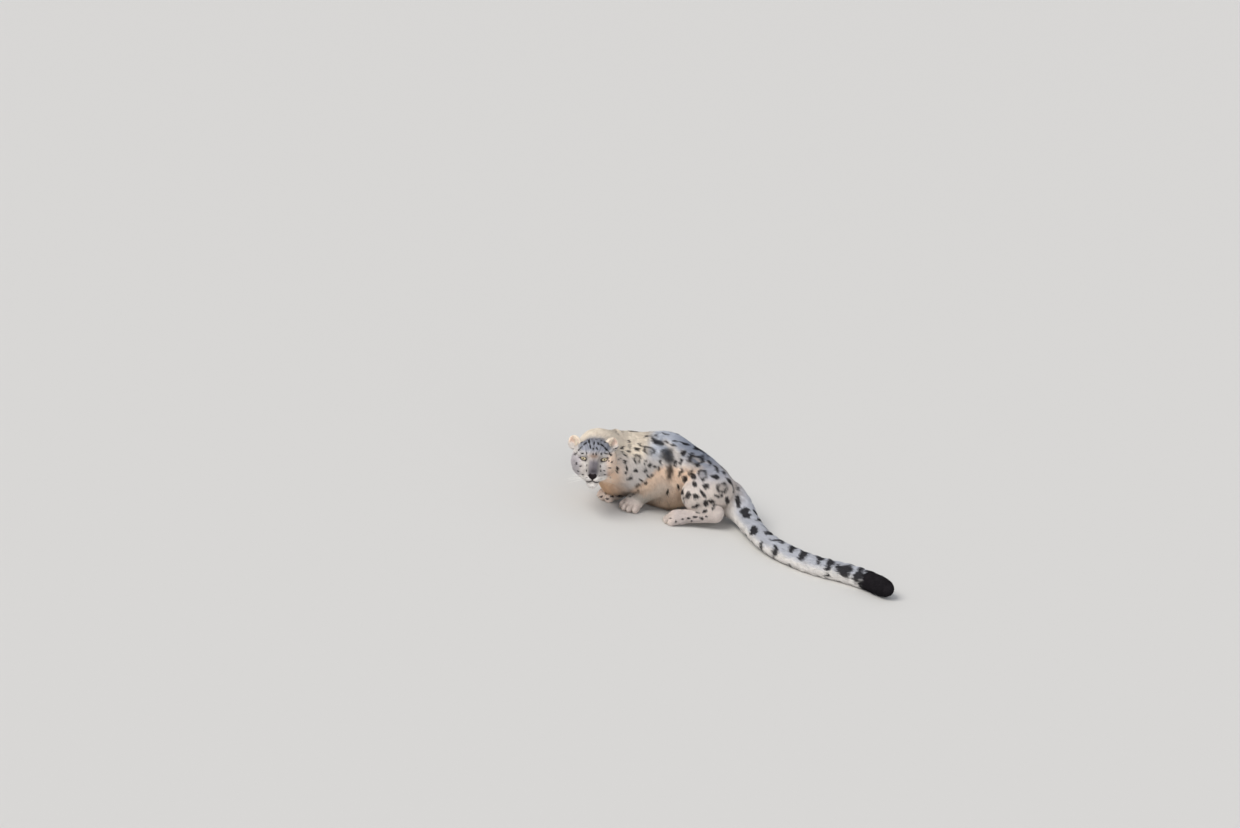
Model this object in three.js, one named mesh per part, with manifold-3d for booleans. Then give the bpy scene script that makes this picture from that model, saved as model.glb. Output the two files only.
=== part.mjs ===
// A life-size snow leopard, crouched with its rump low and its head turned to its left, its long tail laid out
// behind. Millimetres, +Z up. The animal heads along -X and its left side faces -Y. Paws, hind feet and tail
// stand on small flats at z = 0. One smooth field of rounded forms gives the surface of the coat, and where the
// coat is long it gives a core that carries overlapping locks. Each sub-part is the closed mesh of that field,
// with its locks, in its own region, and thin plane cuts keep neighbours 0.3 mm apart.
import * as THREE from "three";
import { mergeVertices } from "three/addons/utils/BufferGeometryUtils.js";
import Module from "manifold-3d";

// Driving dimensions
const GAP = 0.3;
const HEAD_WIDTH = 192;
const EYE_SPACING = 86;
const EYE_RADIUS = 16.5;
const LID_THICKNESS = 4.5;
const EYE_OPENING = [25, 15];
const EAR_SIZE = [54, 62, 26];
const CHEST_WIDTH = 222;
const BELLY_WIDTH = 244;
const BACK_HEIGHT = 330;
const FORE_PAW_WIDTH = 92;
const HIND_PAW_WIDTH = 80;
const HIND_FOOT_LENGTH = 246;
const TAIL_ROOT_RADIUS = 62;
const TAIL_RADIUS = 41;
const TAIL_LENGTHS = 5;

// Where the coat is long it is built as locks, over a core that lies this far below their tips
const TAIL_COAT = 13;
const BELLY_COAT = 12;
const CHEEK_COAT = 9;
const SEED = 20;

const wasm = await Module();
wasm.setup();

// Points and directions as arrays
const add = (a, b) => [a[0] + b[0], a[1] + b[1], a[2] + b[2]];
const sub = (a, b) => [a[0] - b[0], a[1] - b[1], a[2] - b[2]];
const times = (a, s) => [a[0] * s, a[1] * s, a[2] * s];
const dot = (a, b) => a[0] * b[0] + a[1] * b[1] + a[2] * b[2];
const length = (a) => Math.sqrt(dot(a, a));
const unit = (a) => times(a, 1 / length(a));
const cross = (a, b) => [a[1] * b[2] - a[2] * b[1], a[2] * b[0] - a[0] * b[2], a[0] * b[1] - a[1] * b[0]];
const mix = (a, b, t) => add(a, times(sub(b, a), t));
const radians = THREE.MathUtils.degToRad;
const UP = [0, 0, 1];
const PLAIN_AXES = [[1, 0, 0], [0, 1, 0], [0, 0, 1]];

// A local frame is an origin and three unit axes
const toLocal = (f, p) => {
  const d = sub(p, f.origin);
  return [dot(f.axes[0], d), dot(f.axes[1], d), dot(f.axes[2], d)];
};
const turned = (f, q) => add(add(times(f.axes[0], q[0]), times(f.axes[1], q[1])), times(f.axes[2], q[2]));
const toPart = (f, q) => add(f.origin, turned(f, q));
function axesAlong(direction) {
  const x = unit(direction);
  const y = unit(cross(UP, x));
  return [x, y, cross(x, y)];
}
function pitchedAxes(degrees) {
  const a = radians(degrees);
  return [[1, 0, 0], [0, Math.cos(a), Math.sin(a)], [0, -Math.sin(a), Math.cos(a)]];
}

// Distance fields, negative inside
function ellipsoid(centre, radii, axes = PLAIN_AXES) {
  const rows = axes.map((axis, i) => times(axis, 1 / radii[i]));
  return (p) => {
    const d = sub(p, centre);
    const q = [dot(rows[0], d), dot(rows[1], d), dot(rows[2], d)];
    const scaled = length(q);
    const slope = length([q[0] / radii[0], q[1] / radii[1], q[2] / radii[2]]);
    return slope < 1e-9 ? -Math.min(...radii) : (scaled * (scaled - 1)) / slope;
  };
}

function roundCone(a, b, ra, rb) {
  const axis = sub(b, a);
  const l2 = dot(axis, axis);
  const taper = ra - rb;
  const slant = l2 - taper * taper;
  return (p) => {
    const pa = sub(p, a);
    const y = dot(pa, axis);
    const z = y - l2;
    const across = sub(times(pa, l2), times(axis, y));
    const x2 = dot(across, across);
    const y2 = y * y * l2;
    const z2 = z * z * l2;
    const k = Math.sign(taper) * taper * taper * x2;
    if (Math.sign(z) * slant * z2 > k) return Math.sqrt(x2 + z2) / l2 - rb;
    if (Math.sign(y) * slant * y2 < k) return Math.sqrt(x2 + y2) / l2 - ra;
    return (Math.sqrt((x2 * slant) / l2) + y * taper) / l2 - ra;
  };
}

// Two forms joined with a fillet, one form carved out of another, and a row of forms joined
function blend(a, b, k) {
  const h = Math.max(k - Math.abs(a - b), 0) / k;
  return Math.min(a, b) - (h * h * k) / 4;
}
const carve = (a, b, k) => -blend(-a, b, k);
const blended = (fields, k) => (p) => {
  let d = fields[0](p);
  for (let i = 1; i < fields.length; i++) d = blend(d, fields[i](p), k);
  return d;
};

// A field that is only worked out near its form, so that far points cost little
const CLEAR = 70;
const within = (centre, reach, field) => (p) => {
  const d = length(sub(p, centre)) - reach;
  return d > CLEAR ? d : field(p);
};

// Trunk and neck
const trunkForms = blended([
  ellipsoid([-136, 160, 176], [146, CHEST_WIDTH / 2, 137]),
  ellipsoid([-34, 184, 170], [146, BELLY_WIDTH / 2, BACK_HEIGHT - 170]),
  ellipsoid([78, 182, 168], [124, 106, 110], axesAlong([1, 0, -0.28])),
  ellipsoid([178, 166, 136], [112, 94, 84], axesAlong([1, -0.1, -0.6])),
  ellipsoid([-246, 134, 156], [68, 80, 92]),
], 44);
const neckForm = (() => {
  const crest = roundCone([-228, 146, 218], [-316, 66, 244], 88, 90);
  const shoulderBlade = ellipsoid([-252, 134, 262], [26, 40, 64]);
  return within([-270, 108, 236], 170, (p) => blend(crest(p), shoulderBlade(p), 22));
})();
const bellyInset = (p) => BELLY_COAT * (1 - THREE.MathUtils.smoothstep(p[2], 40, 110));

// Limbs. The left side is the one that faces -Y. Radii are those of the coat's outer surface.
const LEFT = {
  shoulder: [-155, 90, 208],
  shoulderRadii: [104, 58, 82],
  point: [-246, 92, 176],
  elbow: [-44, 106, 132],
  wrist: [-122, 104, 52],
  foreHeading: [-0.5, -0.86, 0],
  hip: [190, 108, 152],
  hipRadius: 78,
  knee: [110, 40, 128],
  kneeRadius: 56,
  heel: [212, 32, 60],
  hindHeading: [-0.98, -0.17, 0],
};
const RIGHT = {
  shoulder: [-160, 222, 206],
  shoulderRadii: [104, 54, 80],
  point: [-244, 214, 174],
  elbow: [-100, 236, 122],
  wrist: [-206, 170, 50],
  foreHeading: [-0.9, -0.42, 0],
  hip: [184, 216, 116],
  hipRadius: 68,
  knee: [112, 296, 124],
  kneeRadius: 54,
  heel: [222, 276, 54],
  hindHeading: [-0.95, 0.3, 0],
};

// Four toes: how far each lies ahead of the paw's middle and to its side, in parts of the paw's width
const TOES = [[0.22, -0.35], [0.38, -0.125], [0.38, 0.125], [0.22, 0.35]];
function pawField(frame, width) {
  const pad = ellipsoid([-0.1 * width, 0, 0.33 * width], [0.46 * width, 0.42 * width, 0.34 * width]);
  const toes = TOES.map(([ahead, side]) =>
    ellipsoid([ahead * width, side * width, 0.2 * width], [0.26 * width, 0.15 * width, 0.23 * width]));
  return within(frame.origin, width, (p) => {
    const q = toLocal(frame, p);
    const nearest = Math.min(toes[0](q), toes[1](q), toes[2](q), toes[3](q));
    return blend(nearest, pad(q), 0.16 * width);
  });
}

// A paw's frame stands on the floor ahead of its joint
function pawFrame(joint, heading, ahead) {
  const f = unit(heading);
  return { origin: add([joint[0], joint[1], 0], times(f, ahead)), axes: [f, cross(UP, f), UP] };
}

function foreLeg(side) {
  const frame = pawFrame(side.wrist, side.foreHeading, 26);
  const upper = blended([
    ellipsoid(side.shoulder, side.shoulderRadii, axesAlong([1, 0, -0.36])),
    roundCone(side.point, side.elbow, 56, 46),
  ], 40);
  return {
    frame,
    upper: within(side.shoulder, 170, upper),
    lower: within(mix(side.elbow, side.wrist, 0.5), 130, roundCone(side.elbow, side.wrist, 46, 37)),
    paw: pawField(frame, FORE_PAW_WIDTH),
  };
}

function hindLeg(side) {
  const frame = pawFrame(side.heel, side.hindHeading, HIND_FOOT_LENGTH * 0.66);
  const toes = pawField(frame, HIND_PAW_WIDTH);
  const sole = roundCone(side.heel, add(frame.origin, [0, 0, 31]), 33, 29);
  const thigh = blended([
    roundCone(side.hip, side.knee, side.hipRadius, side.kneeRadius),
    ellipsoid(mix(side.hip, side.knee, 0.36), [98, 60, 88], axesAlong([1, 0, 0.1])),
  ], 36);
  return {
    frame,
    upper: within(side.hip, 210, thigh),
    lower: within(side.heel, 220, roundCone(add(side.knee, [6, 4, -26]), add(side.heel, [0, 2, 8]), 44, 35)),
    paw: within(mix(side.heel, frame.origin, 0.5), 170, (p) => blend(toes(p), sole(p), 22)),
  };
}

const LEGS = [foreLeg(LEFT), foreLeg(RIGHT), hindLeg(LEFT), hindLeg(RIGHT)];
const [foreLeft, foreRight, hindLeft, hindRight] = LEGS;

// Tail: a smooth curve through the places where it bends, from the rump down to the floor and along it
const TAIL_BENDS = [
  [266, 160, 98], [316, 108, 74], [352, 30, 60], [442, -144, 47], [554, -244, 41],
  [668, -302, 40], [770, -324, 40], [870, -362, 41], [960, -432, 42],
];
const tailBends = TAIL_BENDS.map((bend) => new THREE.Vector3(...bend));
const tailCurve = new THREE.CatmullRomCurve3(tailBends, false, "centripetal");
const tailPoint = (t) => tailCurve.getPointAt(t).toArray();
const tailDirection = (t) => tailCurve.getTangentAt(t).toArray();
const TAIL_LENGTH = tailCurve.getLength();
const TAIL_SLIMS_BY = 0.34;
const TAIL_STEPS = 20;
function tailRadius(t) {
  const slim = Math.min(1, t / TAIL_SLIMS_BY);
  return TAIL_ROOT_RADIUS + (TAIL_RADIUS - TAIL_ROOT_RADIUS) * slim * (2 - slim);
}
const tailCore = (t) => tailRadius(t) - TAIL_COAT * Math.min(1, 0.4 + t * 5);
const tailField = (() => {
  const cones = Array.from({ length: TAIL_STEPS }, (_, i) => {
    const from = tailPoint(i / TAIL_STEPS);
    const to = tailPoint((i + 1) / TAIL_STEPS);
    const cone = roundCone(from, to, tailCore(i / TAIL_STEPS), tailCore((i + 1) / TAIL_STEPS));
    return within(mix(from, to, 0.5), 90, cone);
  });
  return within([600, -150, 50], 560, blended(cones, 10));
})();

// Head: x to the animal's right of the face as seen from the front, y up the face, z out of it,
// with the origin midway between the eyes
const FACE_PITCH = radians(11);
const FACE_ROLL = radians(6.5);
const HEAD = (() => {
  const forward = [0, -Math.cos(FACE_PITCH), Math.sin(FACE_PITCH)];
  const up = [0, Math.sin(FACE_PITCH), Math.cos(FACE_PITCH)];
  const across = add(times([1, 0, 0], Math.cos(FACE_ROLL)), times(up, Math.sin(FACE_ROLL)));
  return { origin: [-325, -72, 250], axes: [across, cross(forward, across), forward] };
})();
const EYE = [EYE_SPACING / 2, 0, -13];
const bothSides = ["left", "right"];
const facing = { left: -1, right: 1 };
const mirrored = (q) => [-q[0], q[1], q[2]];
const toSide = (name, q) => (name === "left" ? q : mirrored(q));
const face = {
  cranium: ellipsoid([0, 6, -66], [74, 60, 80]),
  forehead: ellipsoid([0, 26, -28], [60, 40, 44]),
  brow: ellipsoid([36, 19, -4], [24, 10, 14]),
  cheek: ellipsoid([53, -22, -42], [HEAD_WIDTH / 2 - CHEEK_COAT - 53, 54, 48]),
  cheekbone: ellipsoid([50, -20, -20], [28, 20, 30]),
  orbit: ellipsoid([EYE[0], -1, 16], [20, 13, 17]),
  lids: ellipsoid(EYE, [1, 1, 1].map(() => EYE_RADIUS + LID_THICKNESS)),
  bridge: roundCone([0, -2, 0], [0, -44, 54], 23, 16),
  muzzle: ellipsoid([0, -62, 24], [37, 28, 44], pitchedAxes(8)),
  lipPad: ellipsoid([16, -72, 48], [20, 16, 25]),
  nose: ellipsoid([0, -55, 66], [16, 11, 13]),
  jowl: ellipsoid([34, -60, -16], [27, 31, 38]),
  jaw: ellipsoid([0, -86, 0], [32, 26, 54], pitchedAxes(-10)),
  chin: ellipsoid([0, -102, 38], [23, 17, 25]),
};

// An ear: a rounded upright shell whose cup looks forward and a little outward. Both ears are swung a little to
// the animal's right.
const EAR_BASE = [66, 33, -58];
const EAR_SWING = 8;
const EAR = (() => {
  const up = unit([0.42, 0.9, -0.1]);
  const across = unit(cross(up, [0.35, 0, 0.94]));
  const axes = [across, up, cross(across, up)];
  const half = EAR_SIZE.map((s) => s / 2);
  const middle = add(EAR_BASE, times(up, half[1] * 0.8));
  const cupMiddle = add(add(middle, up), times(axes[2], half[2]));
  return {
    shell: ellipsoid(middle, half, axes),
    cup: ellipsoid(cupMiddle, [half[0] * 0.7, half[1] * 0.76, half[2] * 1.3], axes),
  };
})();

function headField(p) {
  const q = toLocal(HEAD, p);
  const m = [Math.abs(q[0]), q[1], q[2]];
  let d = blend(face.cranium(q), face.forehead(q), 40);
  d = blend(d, face.cheek(m), 36);
  d = blend(d, face.cheekbone(m), 24);
  d = blend(d, face.bridge(q), 24);
  d = blend(d, face.jowl(m), 22);
  const snout = blend(blend(face.muzzle(q), face.lipPad(m), 10), face.nose(q), 8);
  d = blend(d, snout, 18);
  d = blend(d, blend(face.jaw(q), face.chin(q), 22), 7);
  d = blend(d, face.brow(m), 12);
  d = carve(d, face.orbit(m), 12);
  d = blend(d, face.lids(m), 5);
  const e = [Math.abs(q[0] + EAR_SWING), q[1], q[2]];
  d = blend(d, EAR.shell(e), 12);
  return carve(d, EAR.cup(e), 5);
}
const headNear = within(add(HEAD.origin, [0, 52, -14]), 190, headField);

// The core of the whole animal. The last number of a blend is the width of its fillet.
function bodyField(p) {
  let d = blend(trunkForms(p) + bellyInset(p), neckForm(p), 56);
  for (const leg of LEGS) d = blend(d, leg.upper(p), 28);
  d = blend(d, tailField(p), 36);
  d = blend(d, headNear(p), 30);
  for (const leg of LEGS) d = blend(d, blend(leg.lower(p), leg.paw(p), 20), 13);
  return d;
}

// A closed mesh of where a field crosses zero inside a box, by marching through tetrahedra
const CUBE = [[0, 0, 0], [1, 0, 0], [0, 1, 0], [1, 1, 0], [0, 0, 1], [1, 0, 1], [0, 1, 1], [1, 1, 1]];
const TETRAHEDRA = [[0, 1, 3, 7], [0, 3, 2, 7], [0, 2, 6, 7], [0, 6, 4, 7], [0, 4, 5, 7], [0, 5, 1, 7]];
const BLOCK = 4;
function sampled(field, low, cell, n) {
  const values = new Float64Array(n[0] * n[1] * n[2]);
  const reach = BLOCK * cell * 1.7;
  const place = (i, j, k) => [low[0] + i * cell, low[1] + j * cell, low[2] + k * cell];
  for (let k = 0; k < n[2]; k += BLOCK)
    for (let j = 0; j < n[1]; j += BLOCK)
      for (let i = 0; i < n[0]; i += BLOCK) {
        const middle = field(place(i + BLOCK / 2, j + BLOCK / 2, k + BLOCK / 2));
        for (let c = k; c < Math.min(k + BLOCK, n[2]); c++)
          for (let b = j; b < Math.min(j + BLOCK, n[1]); b++)
            for (let a = i; a < Math.min(i + BLOCK, n[0]); a++) {
              const rim = a * b * c === 0 || a === n[0] - 1 || b === n[1] - 1 || c === n[2] - 1;
              const value = Math.abs(middle) > reach ? middle : field(place(a, b, c)) || 1e-6;
              values[(c * n[1] + b) * n[0] + a] = rim ? Math.max(value, cell / 2) : value;
            }
      }
  return values;
}

function surfaceOf(field, low, high, cell) {
  const n = [0, 1, 2].map((i) => Math.ceil((high[i] - low[i]) / cell) + 1);
  const values = sampled(field, low, cell, n);
  const place = (id) => [
    low[0] + (id % n[0]) * cell,
    low[1] + (Math.floor(id / n[0]) % n[1]) * cell,
    low[2] + Math.floor(id / (n[0] * n[1])) * cell,
  ];
  const points = [];
  const triangles = [];
  const known = new Map();
  const crossing = (a, b) => {
    const key = Math.min(a, b) * values.length + Math.max(a, b);
    if (!known.has(key)) {
      const t = values[a] / (values[a] - values[b]);
      known.set(key, points.length);
      points.push(mix(place(a), place(b), THREE.MathUtils.clamp(t, 0.02, 0.98)));
    }
    return known.get(key);
  };
  const push = (a, b, c, flip) => triangles.push(flip ? [a, c, b] : [a, b, c]);
  const split = (ids) => {
    const corners = [0, 1, 2, 3];
    const order = [...corners.filter((c) => values[ids[c]] < 0), ...corners.filter((c) => values[ids[c]] >= 0)];
    const inside = order.filter((c) => values[ids[c]] < 0).length;
    if (inside === 0 || inside === 4) return;
    let swaps = 0;
    for (let a = 0; a < 4; a++) for (let b = a + 1; b < 4; b++) if (order[a] > order[b]) swaps++;
    const flip = swaps % 2 === 1;
    const [a, b, c, d] = order.map((x) => ids[x]);
    if (inside === 1) push(crossing(a, b), crossing(a, c), crossing(a, d), flip);
    else if (inside === 3) push(crossing(a, d), crossing(b, d), crossing(c, d), flip);
    else {
      const [ac, ad, bc, bd] = [crossing(a, c), crossing(a, d), crossing(b, c), crossing(b, d)];
      push(ac, ad, bd, flip);
      push(ac, bd, bc, flip);
    }
  };
  for (let k = 0; k < n[2] - 1; k++)
    for (let j = 0; j < n[1] - 1; j++)
      for (let i = 0; i < n[0] - 1; i++) {
        const ids = CUBE.map(([x, y, z]) => ((k + z) * n[1] + j + y) * n[0] + i + x);
        const inside = ids.filter((id) => values[id] < 0).length;
        if (inside > 0 && inside < 8) TETRAHEDRA.forEach((t) => split(t.map((c) => ids[c])));
      }
  return { points, triangles };
}

// A heap of edges, cheapest first
function cheapestFirst() {
  const heap = [];
  const swap = (i, j) => ([heap[i], heap[j]] = [heap[j], heap[i]]);
  return {
    size: () => heap.length,
    push(item) {
      let i = heap.push(item) - 1;
      while (i > 0 && heap[i].cost < heap[(i - 1) >> 1].cost) {
        swap(i, (i - 1) >> 1);
        i = (i - 1) >> 1;
      }
    },
    pop() {
      const top = heap[0];
      const last = heap.pop();
      if (heap.length === 0) return top;
      heap[0] = last;
      let i = 0;
      while (true) {
        const kids = [2 * i + 1, 2 * i + 2].filter((k) => k < heap.length && heap[k].cost < heap[i].cost);
        if (kids.length === 0) return top;
        const next = kids.reduce((a, b) => (heap[a].cost < heap[b].cost ? a : b));
        swap(i, next);
        i = next;
      }
    },
  };
}

// Thins a closed mesh to a number of triangles by the edge collapses that move its surface least
const EVENNESS = 2e-3;
function thinned({ points, triangles }, target) {
  const faces = triangles.map((t) => [...t]);
  const alive = faces.map(() => true);
  const around = points.map(() => new Set());
  faces.forEach((t, f) => t.forEach((v) => around[v].add(f)));
  const normal = (a, b, c) => cross(sub(b, a), sub(c, a));
  const quadric = points.map(() => new Float64Array(10));
  for (const t of faces) {
    const raw = normal(...t.map((v) => points[v]));
    const area = length(raw);
    if (area < 1e-9) continue;
    const [x, y, z] = times(raw, 1 / area);
    const w = -dot([x, y, z], points[t[0]]);
    const q = [x * x, x * y, x * z, x * w, y * y, y * z, y * w, z * z, z * w, w * w];
    t.forEach((v) => q.forEach((s, i) => (quadric[v][i] += s * area)));
  }
  const error = (q, [x, y, z]) =>
    q[0] * x * x + q[4] * y * y + q[7] * z * z + q[9] +
    2 * (q[1] * x * y + q[2] * x * z + q[3] * x + q[5] * y * z + q[6] * y + q[8] * z);
  const collapse = (a, b) => {
    const q = quadric[a].map((s, i) => s + quadric[b][i]);
    const m = new THREE.Matrix3().set(q[0], q[1], q[2], q[1], q[4], q[5], q[2], q[5], q[7]);
    const middle = mix(points[a], points[b], 0.5);
    const edge = length(sub(points[a], points[b]));
    let place = middle;
    if (Math.abs(m.determinant()) > 1e-4 * (q[0] + q[4] + q[7]) ** 3) {
      const best = new THREE.Vector3(-q[3], -q[6], -q[8]).applyMatrix3(m.invert()).toArray();
      if (length(sub(best, middle)) < edge) place = best;
    }
    return { cost: error(q, place) + EVENNESS * edge * edge, place };
  };
  const stamp = new Uint32Array(points.length);
  const heap = cheapestFirst();
  const offer = (a, b) => heap.push({ ...collapse(a, b), a, b, stamps: [stamp[a], stamp[b]] });
  const ring = (v) => new Set([...around[v]].flatMap((f) => faces[f]).filter((u) => u !== v));
  const folds = (a, b, place) => [a, b].some((v) => [...around[v]].some((f) => {
    const t = faces[f];
    if (t.includes(a) && t.includes(b)) return false;
    const before = normal(...t.map((u) => points[u]));
    const after = normal(...t.map((u) => (u === a || u === b ? place : points[u])));
    return length(after) < 1e-2 || dot(before, after) < 0.3 * length(before) * length(after);
  }));
  for (const t of faces)
    for (const [a, b] of [[t[0], t[1]], [t[1], t[2]], [t[2], t[0]]]) if (a < b) offer(a, b);
  let count = faces.length;
  while (count > target && heap.size()) {
    const { a, b, place, stamps } = heap.pop();
    if (stamp[a] !== stamps[0] || stamp[b] !== stamps[1]) continue;
    const ringA = ring(a);
    if (!ringA.has(b) || [...ring(b)].filter((v) => ringA.has(v)).length !== 2) continue;
    if (folds(a, b, place)) continue;
    points[a] = place;
    quadric[a] = quadric[a].map((s, i) => s + quadric[b][i]);
    for (const f of [...around[b]]) {
      if (faces[f].includes(a)) {
        alive[f] = false;
        count--;
        faces[f].forEach((v) => around[v].delete(f));
      } else {
        faces[f][faces[f].indexOf(b)] = a;
        around[a].add(f);
      }
    }
    stamp[a]++;
    stamp[b]++;
    ring(a).forEach((v) => offer(a, v));
  }
  return { points, triangles: faces.filter((_, f) => alive[f]) };
}

// Meshes to solids and back
const solid = (place, corners) => new wasm.Manifold(new wasm.Mesh({
  numProp: 3,
  vertProperties: Float32Array.from(place),
  triVerts: Uint32Array.from(corners),
}));

function solidOfMesh({ points, triangles }) {
  const renumbered = new Map();
  const corners = triangles.flat().map((v) => {
    if (!renumbered.has(v)) renumbered.set(v, renumbered.size);
    return renumbered.get(v);
  });
  return solid([...renumbered.keys()].flatMap((v) => points[v]), corners);
}

function solidOfGeometry(geometry) {
  const bare = new THREE.BufferGeometry();
  bare.setAttribute("position", (geometry.index ? geometry.toNonIndexed() : geometry).getAttribute("position"));
  const merged = mergeVertices(bare, 1e-3);
  return solid(merged.attributes.position.array, merged.index.array);
}

function geometryOf(shape) {
  const mesh = shape.getMesh();
  const place = new Float32Array(mesh.numVert * 3);
  for (let i = 0; i < mesh.numVert; i++)
    place.set(mesh.vertProperties.subarray(i * mesh.numProp, i * mesh.numProp + 3), i * 3);
  const geometry = new THREE.BufferGeometry();
  geometry.setAttribute("position", new THREE.BufferAttribute(place, 3));
  geometry.setIndex(new THREE.BufferAttribute(mesh.triVerts, 1));
  return geometry;
}

const largest = (shape) => shape.decompose().reduce((a, b) => (a.volume() > b.volume() ? a : b));

// Everything on one side of a plane, as a very large box
const VAST = 4000;
function halfSpace({ point, normal }, grow = 0) {
  const z = unit(normal);
  const x = unit(cross(Math.abs(z[2]) > 0.9 ? [1, 0, 0] : UP, z));
  const basis = new THREE.Matrix4().makeBasis(...[x, cross(z, x), z].map((v) => new THREE.Vector3(...v)));
  basis.setPosition(...add(point, times(z, VAST / 2 - grow)));
  return solidOfGeometry(new THREE.BoxGeometry(VAST, VAST, VAST).applyMatrix4(basis));
}
const region = (planes, grow) => planes.map((p) => halfSpace(p, grow)).reduce((a, b) => a.intersect(b));
const opposite = ({ point, normal }) => ({ point, normal: times(normal, -1) });

// Locks of the long coat. Each is a flat blade of three sides that tapers to a tip. Its root is sunk in the
// core, it rises from the core along the lie of the coat, and its edges are drawn down round the form.
const LOCK_STATIONS = [
  { along: 0, breadth: 0.7, depth: 1 },
  { along: 0.38, breadth: 1, depth: 0.9 },
  { along: 0.74, breadth: 0.66, depth: 0.6 },
  { along: 1, breadth: 0, depth: 0 },
];
const LOCK_SIDES = 3;
const LOCK_SINK = 6;
let draw = SEED;
function chance(low, high) {
  draw = (draw * 16807) % 2147483647;
  return low + ((high - low) * draw) / 2147483647;
}

// A lock through one place on the core for each station, each with the direction out of the core
function lock(places, { wide, thick, rise, round }) {
  const spine = places.map(({ point, out }, i) => {
    const proud = rise - (LOCK_SINK + rise) * (1 - LOCK_STATIONS[i].along) ** 2;
    return add(point, times(out, proud));
  });
  const tip = spine.length - 1;
  const points = spine.slice(0, tip).flatMap((middle, i) => {
    const { out } = places[i];
    const across = unit(cross(out, sub(spine[i + 1], spine[Math.max(i - 1, 0)])));
    const half = (wide * LOCK_STATIONS[i].breadth) / 2;
    const edge = add(middle, times(out, (-half * half) / (2 * round)));
    const crown = add(middle, times(out, (thick * LOCK_STATIONS[i].depth) / 2));
    return [add(edge, times(across, half)), crown, sub(edge, times(across, half))];
  });
  points.push(spine[tip]);
  const triangles = [[0, 2, 1]];
  for (let ring = 0; ring < tip; ring++)
    for (let i = 0; i < LOCK_SIDES; i++) {
      const [a, b] = [ring * LOCK_SIDES + i, ring * LOCK_SIDES + ((i + 1) % LOCK_SIDES)];
      if (ring === tip - 1) triangles.push([a, b, points.length - 1]);
      else triangles.push([a, b, b + LOCK_SIDES], [a, b + LOCK_SIDES, a + LOCK_SIDES]);
    }
  return solidOfMesh({ points, triangles });
}

// The nearest place on the core to a point, and a lock that starts there and follows the core, or hangs loose
const STEP = 0.5;
const NEARER = 0.7;
function onCore(start) {
  let point = start;
  let out = UP;
  for (let i = 0; i < 12; i++) {
    out = unit(PLAIN_AXES.map((axis) =>
      bodyField(add(point, times(axis, STEP))) - bodyField(sub(point, times(axis, STEP)))));
    point = sub(point, times(out, bodyField(point) * NEARER));
  }
  return { point, out };
}
function lockOn(guide, lie, size) {
  const reach = size.long * chance(0.9, 1.1);
  const sway = chance(-0.3, 0.3);
  const places = [onCore(guide)];
  for (let i = 1; i < LOCK_STATIONS.length; i++) {
    const { point, out } = places[i - 1];
    const heading = add(lie, times(cross(out, lie), sway * LOCK_STATIONS[i].along));
    const along = unit(sub(heading, times(out, dot(heading, out))));
    const straight = add(point, times(along, reach * (LOCK_STATIONS[i].along - LOCK_STATIONS[i - 1].along)));
    const followed = onCore(straight);
    places.push({
      point: mix(followed.point, straight, size.loose),
      out: unit(mix(followed.out, out, size.loose)),
    });
  }
  return lock(places, size);
}

// A place on the tail's core at a share of its length, past the end round its tip
function tailPlace(t, angle) {
  const shown = Math.min(t, 1);
  const along = tailDirection(shown);
  const side = unit(cross(UP, along));
  const outward = add(times(side, Math.cos(angle)), times(cross(along, side), Math.sin(angle)));
  const radius = tailCore(shown);
  const round = Math.min(((t - shown) * TAIL_LENGTH) / radius, 1.2);
  const out = add(times(outward, Math.cos(round)), times(along, Math.sin(round)));
  return { point: add(tailPoint(shown), times(out, radius)), out };
}

// Tail: rings of locks that lie over one another like shingles, the last ones drawn together into a blunt brush
const TAIL_RINGS = 11;
const TAIL_LOCKS_ROUND = 5;
const TAIL_LOCK_LENGTH = 92;
const TAIL_LOCKS_FROM = 0.08;
const TAIL_LOCKS_TO = 0.97;
function tailLocks() {
  return Array.from({ length: TAIL_RINGS }, (_, ring) => {
    const start = TAIL_LOCKS_FROM + ((TAIL_LOCKS_TO - TAIL_LOCKS_FROM) * ring) / (TAIL_RINGS - 1);
    const size = { wide: tailCore(start) * 1.9, thick: 8, rise: TAIL_COAT - 2, round: tailCore(start) * 1.2 };
    return Array.from({ length: TAIL_LOCKS_ROUND }, (__, i) => {
      const angle = (2 * Math.PI * (i + (ring % 2) / 2)) / TAIL_LOCKS_ROUND;
      const sway = chance(-0.3, 0.3);
      const reach = (TAIL_LOCK_LENGTH * chance(0.88, 1.08)) / TAIL_LENGTH;
      const places = LOCK_STATIONS.map(({ along: s }) => tailPlace(start + reach * s, angle + sway * s * s));
      return lock(places, size);
    });
  }).flat();
}

// Cheek ruff: two rows of short locks down the sides of the face, out and back towards the neck
const RUFF = [[66, 10, -50], [76, -12, -44], [76, -38, -38], [62, -62, -30], [44, -82, -22]];
const RUFF_ROWS = [{ back: 0, long: 34, rise: 5 }, { back: -22, long: 42, rise: 8 }];
function ruffLocks(name) {
  return RUFF_ROWS.flatMap(({ back, long, rise }) => RUFF.map(([x, y, z], i) => {
    const guide = toPart(HEAD, toSide(name, [x, y, z + back]));
    const lie = turned(HEAD, toSide(name, unit([0.45 - 0.1 * i, -0.75, -0.45])));
    return lockOn(guide, lie, { long, wide: 32, thick: 7, rise, round: 60, loose: 0.4 });
  }));
}

// Throat, chest and belly
const THROAT = [
  [-352, 40, 140], [-318, 48, 128], [-286, 70, 120], [-262, 96, 96], [-306, 120, 84], [-236, 70, 84],
];
const throatLocks = () => THROAT.map((guide) =>
  lockOn(guide, unit([0.15, 0.3, -1]), { long: 66, wide: 50, thick: 9, rise: 9, round: 90, loose: 0.5 }));

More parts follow.
